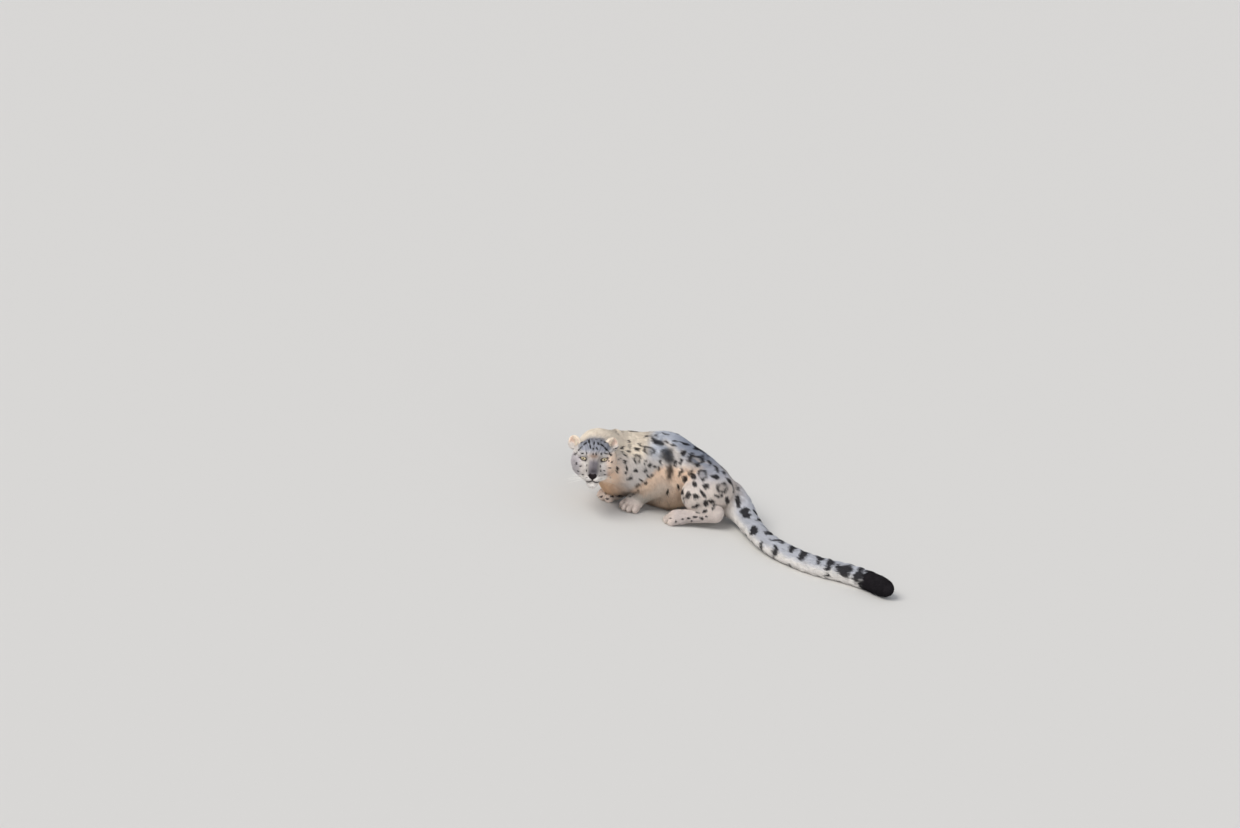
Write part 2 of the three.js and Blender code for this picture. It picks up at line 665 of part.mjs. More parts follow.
const BELLY_LOCKS = 6;
const BELLY_LOCK_SPACING = 36;
function bellyLocks(name) {
  const size = { long: 72, wide: 54, thick: 9, rise: BELLY_COAT - 3, round: 100, loose: 0.8 };
  const side = facing[name];
  return Array.from({ length: BELLY_LOCKS }, (_, i) => {
    const lower = i % 2 === 1;
    const guide = [-132 + BELLY_LOCK_SPACING * i, 186 + side * (lower ? 84 : 96), lower ? 66 : 84];
    return lockOn(guide, unit([0.35, -side * 0.35, -1]), size);
  });
}

const longCoat = [
  ...tailLocks(),
  ...bothSides.flatMap(ruffLocks),
  ...throatLocks(),
  ...bothSides.flatMap(bellyLocks),
];

// The planes that part the body. Each normal points into the sub-part that the plane is named after.
const headPlane = { point: toPart(HEAD, [0, -10, -104]), normal: turned(HEAD, [0, 0.12, 1]) };
const neckPlane = { point: [-288, 92, 200], normal: [-0.62, -0.78, 0.04] };
const earPlanes = (name) => [
  {
    point: toPart(HEAD, sub(toSide(name, [55, 53, -58]), [EAR_SWING, 0, 0])),
    normal: turned(HEAD, toSide(name, [0.66, 0.75, 0])),
  },
  { point: toPart(HEAD, [0, 0, -84]), normal: turned(HEAD, [0, 0, 1]) },
];
const tailPlane = (t) => ({ point: tailPoint(t), normal: tailDirection(t) });
const tailStart = { point: [272, 0, 0], normal: [1, 0, 0] };
const chestPlane = { point: [-58, 170, 160], normal: [-1, 0.12, 0] };
const hipsPlane = { point: [64, 170, 160], normal: [1, -0.05, 0] };

// A block round a limb from one joint to the next
function limbBlock(from, to, radius, before, above) {
  const [along, across, up] = axesAlong(sub(to, from));
  return [
    { point: sub(from, times(along, before)), normal: along },
    { point: add(to, times(along, radius)), normal: times(along, -1) },
    { point: add(from, times(across, radius)), normal: times(across, -1) },
    { point: sub(from, times(across, radius)), normal: across },
    { point: add(from, times(up, above)), normal: times(up, -1) },
    { point: sub(from, times(up, radius)), normal: up },
  ];
}

function foreRegions(name, side, leg) {
  const out = [0, facing[name], 0];
  const [heading, across] = leg.frame.axes;
  const edge = FORE_PAW_WIDTH * 0.7;
  return {
    [`forepaw_${name}`]: [
      { point: sub(side.wrist, times(heading, 6)), normal: add(heading, [0, 0, -0.35]) },
      { point: [0, 0, 68], normal: [0, 0, -1] },
      { point: add(leg.frame.origin, times(across, edge)), normal: times(across, -1) },
      { point: sub(leg.frame.origin, times(across, edge)), normal: across },
    ],
    [`forearm_${name}`]: limbBlock(side.elbow, side.wrist, 52, 12, 40),
    [`upper_arm_${name}`]: [
      { point: add(side.shoulder, times(out, 8)), normal: out },
      { point: [side.elbow[0] + 50, 0, 0], normal: [-1, 0, 0] },
      { point: [0, 0, 84], normal: UP },
    ],
  };
}

function hindRegions(name, side, leg) {
  const out = [0, facing[name], 0];
  const start = { point: [side.knee[0] - 84, 0, 0], normal: [1, 0, 0] };
  const inner = { point: mix(side.hip, [side.hip[0], 166, 0], 0.1), normal: out };
  const footwards = times(leg.frame.axes[1], facing[name] * Math.sign(leg.frame.axes[1][1]));
  const footInner = { point: sub(leg.frame.origin, times(footwards, HIND_PAW_WIDTH * 0.6)), normal: footwards };
  const toesStart = { point: [-60, 0, 0], normal: [1, 0, 0] };
  return {
    [`hind_foot_${name}`]: [toesStart, footInner, { point: [side.heel[0], 0, 62], normal: [0.1, 0, -1] }],
    [`hind_shank_${name}`]: [start, inner, { point: [side.heel[0], 0, 96], normal: [0.06, 0, -1] }],
    [`thigh_${name}`]: [start, inner],
  };
}

// The eyeballs, and what is carved into the head round them: the openings between the lids, the nostrils,
// the line of the mouth and the groove under the nose
const EYE_SLANT = radians(8);
const eyePlace = (name) => toPart(HEAD, toSide(name, EYE));
function ball(centre, radius) {
  const sphere = new THREE.SphereGeometry(radius, 14, 9);
  return solidOfGeometry(sphere.translate(...centre));
}
const headBasis = new THREE.Matrix4().makeBasis(...HEAD.axes.map((axis) => new THREE.Vector3(...axis)));
headBasis.setPosition(...HEAD.origin);
const inHead = (geometry) => solidOfGeometry(geometry.applyMatrix4(headBasis));

function eyeOpening(name) {
  const [wide, high] = EYE_OPENING.map((s) => s / 2);
  const almond = new THREE.Shape();
  almond.moveTo(-wide, -1);
  almond.quadraticCurveTo(-wide * 0.1, high * 2.1, wide, 2);
  almond.quadraticCurveTo(0, -high * 1.9, -wide, -1);
  const cutter = new THREE.ExtrudeGeometry(almond, { depth: 40, bevelEnabled: false, curveSegments: 5 });
  cutter.rotateZ(EYE_SLANT).rotateY(radians(8)).translate(EYE[0], EYE[1], EYE[2] + 4);
  if (name === "right") return inHead(flipped(cutter));
  return inHead(cutter);
}

// A geometry mirrored left to right, with its faces still pointing out
function flipped(geometry) {
  const bare = geometry.index ? geometry.toNonIndexed() : geometry;
  const place = bare.getAttribute("position").array;
  for (let i = 0; i < place.length; i += 9) {
    const [a, b] = [place.slice(i + 3, i + 6), place.slice(i + 6, i + 9)];
    place.set(b, i + 3);
    place.set(a, i + 6);
  }
  for (let i = 0; i < place.length; i += 3) place[i] = -place[i];
  return bare;
}

// Where a line straight back into the face, from the head's frame, first meets the coat
function faceDepth(x, y) {
  let z = 110;
  for (let i = 0; i < 40; i++) z -= headField(toPart(HEAD, [x, y, z])) * 0.8;
  return z;
}

function groove(xy, radius, proud) {
  const route = xy.map(([x, y]) => new THREE.Vector3(x, y, faceDepth(x, y) + proud));
  const section = new THREE.Shape();
  section.absarc(0, 0, radius, 0, Math.PI * 2);
  const path = new THREE.CatmullRomCurve3(route);
  return inHead(new THREE.ExtrudeGeometry(section, {
    steps: route.length * 3, extrudePath: path, curveSegments: 3, bevelEnabled: false,
  }));
}

const LIP_LINE = [[-38, -83], [-28, -88], [-15, -87], [0, -80], [15, -87], [28, -88], [38, -83]];
const PHILTRUM = [[0, -64], [0, -72], [0, -80]];
function nostril(name) {
  const pit = new THREE.SphereGeometry(1, 10, 6).scale(4.6, 2.6, 7).rotateZ(radians(24));
  pit.translate(9, -58, faceDepth(9, -58) - 1);
  return inHead(name === "right" ? flipped(pit) : pit);
}

function carvedHead(head) {
  const cutters = [groove(LIP_LINE, 2.4, 0.4), groove(PHILTRUM, 1.6, 0.4)];
  for (const name of bothSides)
    cutters.push(ball(eyePlace(name), EYE_RADIUS + GAP), eyeOpening(name), nostril(name));
  return cutters.reduce((rest, cutter) => rest.subtract(cutter), head);
}

// Every sub-part in the order in which it is parted off, with its planes
const inHeadRegion = [neckPlane, headPlane];
const tailOrder = Array.from({ length: TAIL_LENGTHS }, (_, i) => TAIL_LENGTHS - i);
const tailCut = (i) => (i === 1 ? TAIL_LOCKS_FROM - 0.02 : (i - 1) / TAIL_LENGTHS);
const regions = {
  ...Object.fromEntries(bothSides.map((name) => [`ear_${name}`, [...inHeadRegion, ...earPlanes(name)]])),
  head: inHeadRegion,
  neck: [neckPlane],
  ...Object.fromEntries(tailOrder.map((i) => [`tail_${i}`, [tailPlane(tailCut(i)), tailStart]])),
  ...foreRegions("left", LEFT, foreLeft),
  ...foreRegions("right", RIGHT, foreRight),
  ...hindRegions("left", LEFT, hindLeft),
  ...hindRegions("right", RIGHT, hindRight),
  hips: [hipsPlane],
  belly: [opposite(chestPlane)],
  chest: [chestPlane],
};

// How finely each kind of sub-part is meshed: the cell that the field is sampled at, and its triangles
const MESHING = {
  ear: [4, 260],
  head: [4.5, 2900],
  neck: [11, 360],
  chest: [12, 480],
  belly: [12, 350],
  hips: [12, 450],
  upper_arm: [10, 300],
  forearm: [8, 200],
  forepaw: [5, 520],
  thigh: [10, 400],
  hind_shank: [8, 220],
  hind_foot: [6, 520],
  tail: [9, 140],
};
const kindOf = (name) => name.replace(/_(left|right|[0-9])$/, "");

// A coarse mesh of the whole says how far each region reaches
const BODY_LOW = [-470, -520, -20];
const BODY_HIGH = [1040, 400, 370];
const coarse = solidOfMesh(surfaceOf(bodyField, BODY_LOW, BODY_HIGH, 20));
const floor = { point: [0, 0, 0], normal: UP };
const bodies = {};
let taken = halfSpace(opposite(floor));
const meets = (a, b) => [0, 1, 2].every((i) => a.min[i] < b.max[i] && a.max[i] > b.min[i]);
for (const [name, planes] of Object.entries(regions)) {
  const [cell, faces] = MESHING[kindOf(name)];
  const free = region(planes, 0).subtract(taken);
  const box = coarse.intersect(free).boundingBox();
  const low = box.min.map((x) => x - 3 * cell);
  const high = box.max.map((x) => x + 3 * cell);
  const core = solidOfMesh(thinned(surfaceOf(bodyField, low, high, cell), faces));
  const locks = longCoat.filter((piece) => meets(piece.boundingBox(), { min: low, max: high }));
  const part = locks.reduce((a, b) => a.add(b), core).intersect(free);
  bodies[name] = largest(name === "head" ? carvedHead(part) : part);
  taken = taken.add(region(planes, GAP));
}
for (const name of bothSides) bodies[`eye_${name}`] = ball(eyePlace(name), EYE_RADIUS);

// Colours of the coat as seen from a step away, and of the eyes
const COAT = { color: 0xc9c2b4, roughness: 0.95, metalness: 0 };
const PALE_COAT = { color: 0xe2dccf, roughness: 0.95, metalness: 0 };
const EYE_COLOUR = { color: 0xb9bfa0, roughness: 0.15, metalness: 0 };
const finishOf = { eye: EYE_COLOUR, belly: PALE_COAT, forepaw: PALE_COAT, hind_foot: PALE_COAT };

// The origin is in the middle of the floor under the animal
const whole = Object.values(bodies).map((shape) => shape.boundingBox());
const middleOf = (axis) =>
  (Math.min(...whole.map((box) => box.min[axis])) + Math.max(...whole.map((box) => box.max[axis]))) / 2;
const snowLeopard = new THREE.Group();
snowLeopard.position.set(-middleOf(0), -middleOf(1), 0);
for (const [name, shape] of Object.entries(bodies)) {
  const finish = new THREE.MeshStandardMaterial(finishOf[kindOf(name)] ?? COAT);
  const mesh = new THREE.Mesh(geometryOf(shape), finish);
  mesh.name = name;
  snowLeopard.add(mesh);
}
export default snowLeopard;
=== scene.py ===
import math
from collections import namedtuple
from functools import partial

import bpy
import numpy as np
from mathutils import Matrix, Vector


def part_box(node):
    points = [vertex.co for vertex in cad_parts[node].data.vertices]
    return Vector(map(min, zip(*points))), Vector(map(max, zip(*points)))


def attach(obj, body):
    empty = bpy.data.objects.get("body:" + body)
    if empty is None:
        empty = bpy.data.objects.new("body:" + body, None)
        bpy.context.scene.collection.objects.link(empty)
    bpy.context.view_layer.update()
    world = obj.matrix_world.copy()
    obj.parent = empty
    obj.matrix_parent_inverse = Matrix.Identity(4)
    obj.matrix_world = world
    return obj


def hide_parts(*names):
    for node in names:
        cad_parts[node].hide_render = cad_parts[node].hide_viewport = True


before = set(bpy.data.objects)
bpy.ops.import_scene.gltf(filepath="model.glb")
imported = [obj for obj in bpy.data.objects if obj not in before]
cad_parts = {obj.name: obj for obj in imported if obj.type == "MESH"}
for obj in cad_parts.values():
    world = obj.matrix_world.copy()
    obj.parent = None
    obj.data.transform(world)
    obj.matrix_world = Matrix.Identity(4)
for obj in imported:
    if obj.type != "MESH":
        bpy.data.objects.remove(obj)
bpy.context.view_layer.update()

# A life-size snow leopard. The body plan is the one that the solids are built on, in millimetres, with the
# animal heading along -X and its left side facing -Y. One skin is meshed from it, inside the solids by the
# coat's depth, and the coat is solid tufts that grow from that skin.
SEED = 11
MM = 0.001

# Driving dimensions. All but the opening between the lids are the solids' own.
HEAD_WIDTH = 192
EYE_SPACING = 86
EYE_RADIUS = 16.5
LID_THICKNESS = 4.5
EYE_OPENING = (29, 13.5)
EAR_SIZE = np.array([54.0, 62.0, 26.0])
CHEST_WIDTH = 222
BELLY_WIDTH = 244
BACK_HEIGHT = 330
FORE_PAW_WIDTH = 92
HIND_PAW_WIDTH = 80
HIND_FOOT_LENGTH = 246
TAIL_ROOT_RADIUS = 62
TAIL_RADIUS = 41
TAIL_COAT = 13
BELLY_COAT = 12
CHEEK_COAT = 9

# Vectors and distance fields, each over rows of points, negative inside
UP = np.array([0.0, 0.0, 1.0])


def unit(v):
    v = np.asarray(v, float)
    return v / np.maximum(np.linalg.norm(v, axis=-1, keepdims=True), 1e-12)


def axes_along(direction):
    x = unit(direction)
    y = unit(np.cross(UP, x))
    return np.array([x, y, np.cross(x, y)])


def pitched_axes(degrees):
    a = math.radians(degrees)
    return np.array([[1, 0, 0], [0, math.cos(a), math.sin(a)], [0, -math.sin(a), math.cos(a)]])


def mix(a, b, t):
    a, b = np.asarray(a, float), np.asarray(b, float)
    return a + (b - a) * t


def smooth_step(x, low, high):
    """From 0 where x is at low to 1 where it is at high, with soft ends."""
    t = np.clip((x - low) / (high - low), 0, 1)
    return t * t * (3 - 2 * t)


def hump(distance, radius):
    """1 where the distance is nought, falling off softly over the radius."""
    return np.exp(-(distance / radius) ** 2)


def in_turned_axes(x, y, angle):
    """x and y as axes turned by the angle see them."""
    c, s = math.cos(angle), math.sin(angle)
    return c * x + s * y, -s * x + c * y


def ellipsoid(centre, radii, axes=np.eye(3)):
    centre, inverse = np.asarray(centre, float), 1 / np.asarray(radii, float)
    rows = np.asarray(axes) * inverse[:, None]

    def field(p):
        q = (p - centre) @ rows.T
        scaled = np.linalg.norm(q, axis=1)
        slope = np.linalg.norm(q * inverse, axis=1)
        return scaled * (scaled - 1) / np.maximum(slope, 1e-9)

    return field


def round_cone(a, b, ra, rb):
    a, axis = np.asarray(a, float), np.subtract(b, a).astype(float)
    l2 = axis @ axis
    taper = ra - rb
    slant = l2 - taper * taper

    def field(p):
        pa = p - a
        y = pa @ axis
        z = y - l2
        x2 = ((pa * l2 - y[:, None] * axis) ** 2).sum(1)
        y2, z2 = y * y * l2, z * z * l2
        k = np.sign(taper) * taper * taper * x2
        d = (np.sqrt(x2 * slant / l2) + y * taper) / l2 - ra
        d = np.where(np.sign(y) * slant * y2 < k, np.sqrt(x2 + y2) / l2 - ra, d)
        return np.where(np.sign(z) * slant * z2 > k, np.sqrt(x2 + z2) / l2 - rb, d)

    return field


def blend(a, b, k):
    h = np.maximum(k - np.abs(a - b), 0) / k
    return np.minimum(a, b) - h * h * k / 4


def carve(a, b, k):
    return -blend(-a, b, k)


def blended(fields, k):
    def field(p):
        d = fields[0](p)
        for other in fields[1:]:
            d = blend(d, other(p), k)
        return d

    return field


# Beyond this distance from the ball that holds a form, the distance to the ball stands in for the form's own
CLEAR = 70


def within(centre, reach, field):
    centre = np.asarray(centre, float)

    def near(p):
        d = np.linalg.norm(p - centre, axis=1) - reach
        mask = d <= CLEAR
        if mask.any():
            d[mask] = field(p[mask])
        return d

    return near


# Trunk and neck
trunk_forms = blended([
    ellipsoid([-136, 160, 176], [146, CHEST_WIDTH / 2, 137]),
    ellipsoid([-34, 184, 170], [146, BELLY_WIDTH / 2, BACK_HEIGHT - 170]),
    ellipsoid([78, 182, 168], [124, 106, 110], axes_along([1, 0, -0.28])),
    ellipsoid([178, 166, 136], [112, 94, 84], axes_along([1, -0.1, -0.6])),
    ellipsoid([-246, 134, 156], [68, 80, 92]),
], 44)
neck_form = within([-270, 108, 236], 170, blended([
    round_cone([-228, 146, 218], [-316, 66, 244], 88, 90),
    ellipsoid([-252, 134, 262], [26, 40, 64]),
], 22))


def trunk_field(p):
    return trunk_forms(p) + BELLY_COAT * (1 - smooth_step(p[:, 2], 40, 110))


# Limbs. The left side is the one that faces -Y.
LEFT = dict(
    shoulder=[-155, 90, 208], shoulder_radii=[104, 58, 82], point=[-246, 92, 176], elbow=[-44, 106, 132],
    wrist=[-122, 104, 52], fore_heading=[-0.5, -0.86, 0],
    hip=[190, 108, 152], hip_radius=78, knee=[110, 40, 128], knee_radius=56, heel=[212, 32, 60],
    hind_heading=[-0.98, -0.17, 0],
)
RIGHT = dict(
    shoulder=[-160, 222, 206], shoulder_radii=[104, 54, 80], point=[-244, 214, 174], elbow=[-100, 236, 122],
    wrist=[-206, 170, 50], fore_heading=[-0.9, -0.42, 0],
    hip=[184, 216, 116], hip_radius=68, knee=[112, 296, 124], knee_radius=54, heel=[222, 276, 54],
    hind_heading=[-0.95, 0.3, 0],
)
# Each toe's place ahead of the paw's middle and to its side, in widths of the paw
TOES = [(0.22, -0.35), (0.38, -0.125), (0.38, 0.125), (0.22, 0.35)]


class Frame:
    """A local frame: an origin and three unit axes."""

    def __init__(self, origin, axes):
        self.origin, self.axes = np.asarray(origin, float), np.asarray(axes, float)

    def local(self, p):
        return (p - self.origin) @ self.axes.T

    def turned(self, q):
        return np.asarray(q, float) @ self.axes

    def placed(self, q):
        return self.origin + self.turned(q)


def paw_frame(joint, heading, ahead):
    f = unit(heading)
    return Frame(np.array([joint[0], joint[1], 0]) + f * ahead, [f, np.cross(UP, f), UP])


def paw_field(place, width):
    pad = ellipsoid([-0.1 * width, 0, 0.33 * width], [0.46 * width, 0.42 * width, 0.34 * width])
    toes = [
        ellipsoid([ahead * width, side * width, 0.2 * width], [0.26 * width, 0.15 * width, 0.23 * width])
        for ahead, side in TOES
    ]

    def field(p):
        q = place.local(p)
        nearest = np.min([toe(q) for toe in toes], axis=0)
        return blend(nearest, pad(q), 0.16 * width)

    return within(place.origin, width, field)


# One leg: its paw's frame, the fields of its upper part, lower part and paw, and how the coat lies on each
Leg = namedtuple("Leg", "place upper lower paw lies")


def fore_leg(side):
    place = paw_frame(side["wrist"], side["fore_heading"], 26)
    elbow, wrist = side["elbow"], side["wrist"]
    upper = within(side["shoulder"], 170, blended([
        ellipsoid(side["shoulder"], side["shoulder_radii"], axes_along([1, 0, -0.36])),
        round_cone(side["point"], elbow, 56, 46),
    ], 40))
    lower = within(mix(elbow, wrist, 0.5), 130, round_cone(elbow, wrist, 46, 37))
    lies = [unit([0.55, 0, -0.85]), unit(np.subtract(wrist, elbow)), unit(side["fore_heading"])]
    return Leg(place, upper, lower, paw_field(place, FORE_PAW_WIDTH), lies)


def hind_leg(side):
    knee, heel = np.array(side["knee"], float), np.array(side["heel"], float)
    place = paw_frame(heel, side["hind_heading"], HIND_FOOT_LENGTH * 0.66)
    upper = within(side["hip"], 210, blended([
        round_cone(side["hip"], knee, side["hip_radius"], side["knee_radius"]),
        ellipsoid(mix(side["hip"], knee, 0.36), [98, 60, 88], axes_along([1, 0, 0.1])),
    ], 36))
    lower = within(heel, 220, round_cone(knee + [6, 4, -26], heel + [0, 2, 8], 44, 35))
    toes = paw_field(place, HIND_PAW_WIDTH)
    sole = round_cone(heel, place.origin + [0, 0, 31], 33, 29)
    paw = within(mix(heel, place.origin, 0.5), 170, blended([toes, sole], 22))
    lies = [unit([0.5, 0, -0.8]), unit(heel - knee + [0, 0, -30]), unit(side["hind_heading"])]
    return Leg(place, upper, lower, paw, lies)


LEGS = [fore_leg(LEFT), fore_leg(RIGHT), hind_leg(LEFT), hind_leg(RIGHT)]

# Tail: a smooth curve through the places where it bends
TAIL_BENDS = np.array([
    [266, 160, 98], [316, 108, 74], [352, 30, 60], [442, -144, 47], [554, -244, 41],
    [668, -302, 40], [770, -324, 40], [870, -362, 41], [960, -432, 42],
], float)
TAIL_SLIMS_BY = 0.34
BEND_STEPS, TAIL_STEPS, TAIL_FINE_STEPS = 40, 20, 240


def smooth_curve(bends, steps):
    """A centripetal Catmull-Rom curve through the bends, as evenly spaced points."""
    ends = np.vstack([2 * bends[0] - bends[1], bends, 2 * bends[-1] - bends[-2]])
    rows = []
    s = (np.arange(BEND_STEPS) / BEND_STEPS)[:, None]
    for p0, p1, p2, p3 in zip(ends, ends[1:], ends[2:], ends[3:]):
        d0, d1, d2 = (np.linalg.norm(b - a) ** 0.5 for a, b in ((p0, p1), (p1, p2), (p2, p3)))
        t1 = ((p1 - p0) / d0 - (p2 - p0) / (d0 + d1) + (p2 - p1) / d1) * d1
        t2 = ((p2 - p1) / d1 - (p3 - p1) / (d1 + d2) + (p3 - p2) / d2) * d1
        rows.append(p1 + t1 * s + (3 * (p2 - p1) - 2 * t1 - t2) * s**2 + (2 * (p1 - p2) + t1 + t2) * s**3)
    points = np.vstack(rows + [bends[-1:]])
    along = np.r_[0, np.cumsum(np.linalg.norm(np.diff(points, axis=0), axis=1))]
    even = np.linspace(0, along[-1], steps + 1)
    return np.stack([np.interp(even, along, points[:, i]) for i in range(3)], 1)


def tail_core(t):
    slim = np.minimum(1, t / TAIL_SLIMS_BY)
    radius = TAIL_ROOT_RADIUS + (TAIL_RADIUS - TAIL_ROOT_RADIUS) * slim * (2 - slim)
    return radius - TAIL_COAT * np.minimum(1, 0.4 + t * 5)


tail_line = smooth_curve(TAIL_BENDS, TAIL_STEPS)
tail_fine = smooth_curve(TAIL_BENDS, TAIL_FINE_STEPS)
tail_field = within([600, -150, 50], 560, blended([
    within(mix(a, b, 0.5), 90, round_cone(a, b, tail_core(i / TAIL_STEPS), tail_core((i + 1) / TAIL_STEPS)))
    for i, (a, b) in enumerate(zip(tail_line, tail_line[1:]))
], 10))

# Head: x across the face to the viewer's right, y up the face, z out of it, from midway between the eyes
FACE_PITCH, FACE_ROLL = math.radians(11), math.radians(6.5)
FACE_AHEAD = np.array([0, -math.cos(FACE_PITCH), math.sin(FACE_PITCH)])
FACE_RISE = np.array([0, math.sin(FACE_PITCH), math.cos(FACE_PITCH)])
FACE_ACROSS = np.array([1, 0, 0]) * math.cos(FACE_ROLL) + FACE_RISE * math.sin(FACE_ROLL)
HEAD = Frame([-325, -72, 250], [FACE_ACROSS, np.cross(FACE_AHEAD, FACE_ACROSS), FACE_AHEAD])
EYE = np.array([EYE_SPACING / 2, 0, -13])
cranium = ellipsoid([0, 6, -66], [74, 60, 80])
forehead = ellipsoid([0, 26, -28], [60, 40, 44])
brow = ellipsoid([36, 19, -4], [24, 10, 14])
cheek = ellipsoid([53, -22, -42], [HEAD_WIDTH / 2 - CHEEK_COAT - 53, 54, 48])
cheekbone = ellipsoid([50, -20, -20], [28, 20, 30])
orbit = ellipsoid([EYE[0], -1, 16], [20, 13, 17])
lids = ellipsoid(EYE, [EYE_RADIUS + LID_THICKNESS] * 3)
bridge = round_cone([0, -2, 0], [0, -44, 54], 23, 16)
muzzle = ellipsoid([0, -62, 24], [37, 28, 44], pitched_axes(8))
lip_pad = ellipsoid([16, -72, 48], [20, 16, 25])
nose = ellipsoid([0, -55, 66], [16, 11, 13])
jowl = ellipsoid([34, -60, -16], [27, 31, 38])
jaw = ellipsoid([0, -86, 0], [32, 26, 54], pitched_axes(-10))
chin = ellipsoid([0, -102, 38], [23, 17, 25])
EAR_BASE = np.array([66, 33, -58])
EAR_SWING = 8
EAR_UP = unit([0.42, 0.9, -0.1])
EAR_ACROSS = unit(np.cross(EAR_UP, [0.35, 0, 0.94]))
EAR_AXES = np.array([EAR_ACROSS, EAR_UP, np.cross(EAR_ACROSS, EAR_UP)])
EAR_HALF = EAR_SIZE / 2
EAR_MIDDLE = EAR_BASE + EAR_UP * EAR_HALF[1] * 0.8
ear_shell = ellipsoid(EAR_MIDDLE, EAR_HALF, EAR_AXES)
ear_cup = ellipsoid(
    EAR_MIDDLE + EAR_UP + EAR_AXES[2] * EAR_HALF[2], EAR_HALF * [0.7, 0.76, 1.3], EAR_AXES)

# Where the plan lies in the frame: the left eye's solid shows it, and both stand on the same floor
eye_low, eye_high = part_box("eye_left")
SHIFT = (np.array(eye_low) + np.array(eye_high)) / 2 - HEAD.placed(EYE) * MM
SHIFT[2] = 0.0
# How far round the eye its opening, folds and dark rim reach
EYE_REACH = 34


def to_frame(points):
    return points * MM + SHIFT


def mirrored_abs(q):
    return np.c_[np.abs(q[:, 0]), q[:, 1:]]


def at_ear(q):
    """Places in the head's frame as they lie to the left ear, both ears being swung to the animal's right."""
    return mirrored_abs(q + [EAR_SWING, 0, 0])


def near_eye(m, reach=EYE_REACH):
    return np.linalg.norm(m - EYE, axis=1) < reach


def line_distance(p, line):
    """How far rows of points lie from an open line of points."""
    line = np.asarray(line, float)
    best = np.full(len(p), 1e9)
    for a, b in zip(line, line[1:]):
        t = np.clip((p - a) @ (b - a) / ((b - a) @ (b - a)), 0, 1)
        best = np.minimum(best, np.linalg.norm(p - a - t[:, None] * (b - a), axis=1))
    return best


# The eye's opening as an almond, in the face's plane round the eye, negative inside
EYE_SLANT = math.radians(13)
ALMOND_WIDE, ALMOND_HIGH = EYE_OPENING[0] / 2, EYE_OPENING[1] / 2
ALMOND_RADIUS = (ALMOND_WIDE**2 + ALMOND_HIGH**2) / (2 * ALMOND_HIGH)


def almond(m):
    x, y = in_turned_axes(m[:, 0] - EYE[0], m[:, 1] - EYE[1], EYE_SLANT)
    off = ALMOND_RADIUS - ALMOND_HIGH
    return np.maximum(np.hypot(x, y + off), np.hypot(x, y - off)) - ALMOND_RADIUS


LIP_LINE = [(0, -82), (9, -87), (18, -89), (29, -88), (40, -82)]
PHILTRUM = [(0, -62), (0, -82)]
NOSTRIL = [(6.2, -64.5), (8.5, -61), (12.5, -60.5), (16, -64)]
CHIN_LINE = [(33, -92), (25, -101), (20, -112)]


def face_carving(m):
    """How far the fine forms of the face sink it, over its left half mirrored to the right: eye openings, the
    fold over each eye, nostrils, the groove under the nose, the line of the mouth and the lips."""
    front = smooth_step(m[:, 2], -20, 0)
    flat = m[:, :2]
    eye = near_eye(m)
    opening = almond(m)
    sink = np.where(eye, (LID_THICKNESS + 4.0) * smooth_step(-opening, -1.0, 1.6), 0)
    sink -= np.where(eye, 1.4 * hump(opening - 1.6, 1.5), 0)
    sink += np.where(eye & (m[:, 1] > -2), 1.8 * hump(opening - 7.5, 1.8), 0)
    lips = line_distance(flat, LIP_LINE)
    sink += front * (4.5 * hump(lips, 2.0) - 1.3 * hump(lips - 5.0, 2.4))
    sink += front * 2.6 * hump(line_distance(flat, PHILTRUM), 1.6)
    sink += front * 1.6 * hump(line_distance(flat, CHIN_LINE), 3.0)
    nostrils = line_distance(flat, NOSTRIL)
    sink += front * (5.0 * hump(nostrils, 1.9) - 1.1 * hump(nostrils - 3.8, 1.5))
    return sink


def bare_skin(m):
    """One on the nose leather, lids and lips, nought on the furred face."""
    lids_bare = hump(np.maximum(almond(m), 0), 4.0) * near_eye(m)
    return np.clip(lids_bare + nose_leather(m) + 0.8 * lip_edge(m), 0, 1)


def nose_leather(m):
    """The leather: two round wings above, drawn to a point at the groove below."""
    below = smooth_step(m[:, 1], -80, -63)
    edge = 2.5 + 16.0 * below - 5 * smooth_step(m[:, 1], -59, -49)
    top = -51.5 + 0.25 * np.minimum(m[:, 0], 9)
    inside = smooth_step(edge - m[:, 0], -1, 1.5) * smooth_step(top - m[:, 1], -1.5, 1.5)
    return inside * smooth_step(m[:, 1], -83, -80) * smooth_step(m[:, 2], 44, 50)


def lip_edge(m):
    lips = hump(line_distance(m[:, :2], LIP_LINE), 4.2) * smooth_step(m[:, 2], 2, 16)
    return lips * smooth_step(-m[:, 0], -37, -32)


def head_field(p, inset, carved):
    q = HEAD.local(p)
    m = mirrored_abs(q)
    d = blend(cranium(q), forehead(q), 40)
    d = blend(d, cheek(m), 36)
    d = blend(d, cheekbone(m), 24)
    d = blend(d, bridge(q), 24)
    d = blend(d, jowl(m), 22)
    snout = blend(blend(muzzle(q), lip_pad(m), 10), nose(q), 8)
    d = blend(d, snout, 18)
    d = blend(d, blend(jaw(q), chin(q), 22), 7)
    d = blend(d, brow(m), 12)
    d = carve(d, orbit(m), 12)
    if inset:
        furred = 1 - bare_skin(m)
        d = d + furred * (2.2 + 5 * smooth_step(-m[:, 2], 20, 90))
    d = blend(d, lids(m), 5)
    e = at_ear(q)
    ear = ear_shell(e) + (1.2 if inset else 0)
    d = blend(d, ear, 12)
    d = carve(d, ear_cup(e), 5)
    if carved:
        d = d + face_carving(m)
    return d


# The skin lies this far inside the solids: trunk and neck, upper legs, lower legs, paws
SKIN_INSETS = dict(trunk=11.0, neck=10.0, upper=10.0, lower=7.0, paw=4.0)
FLOOR_CLEAR = 1.5
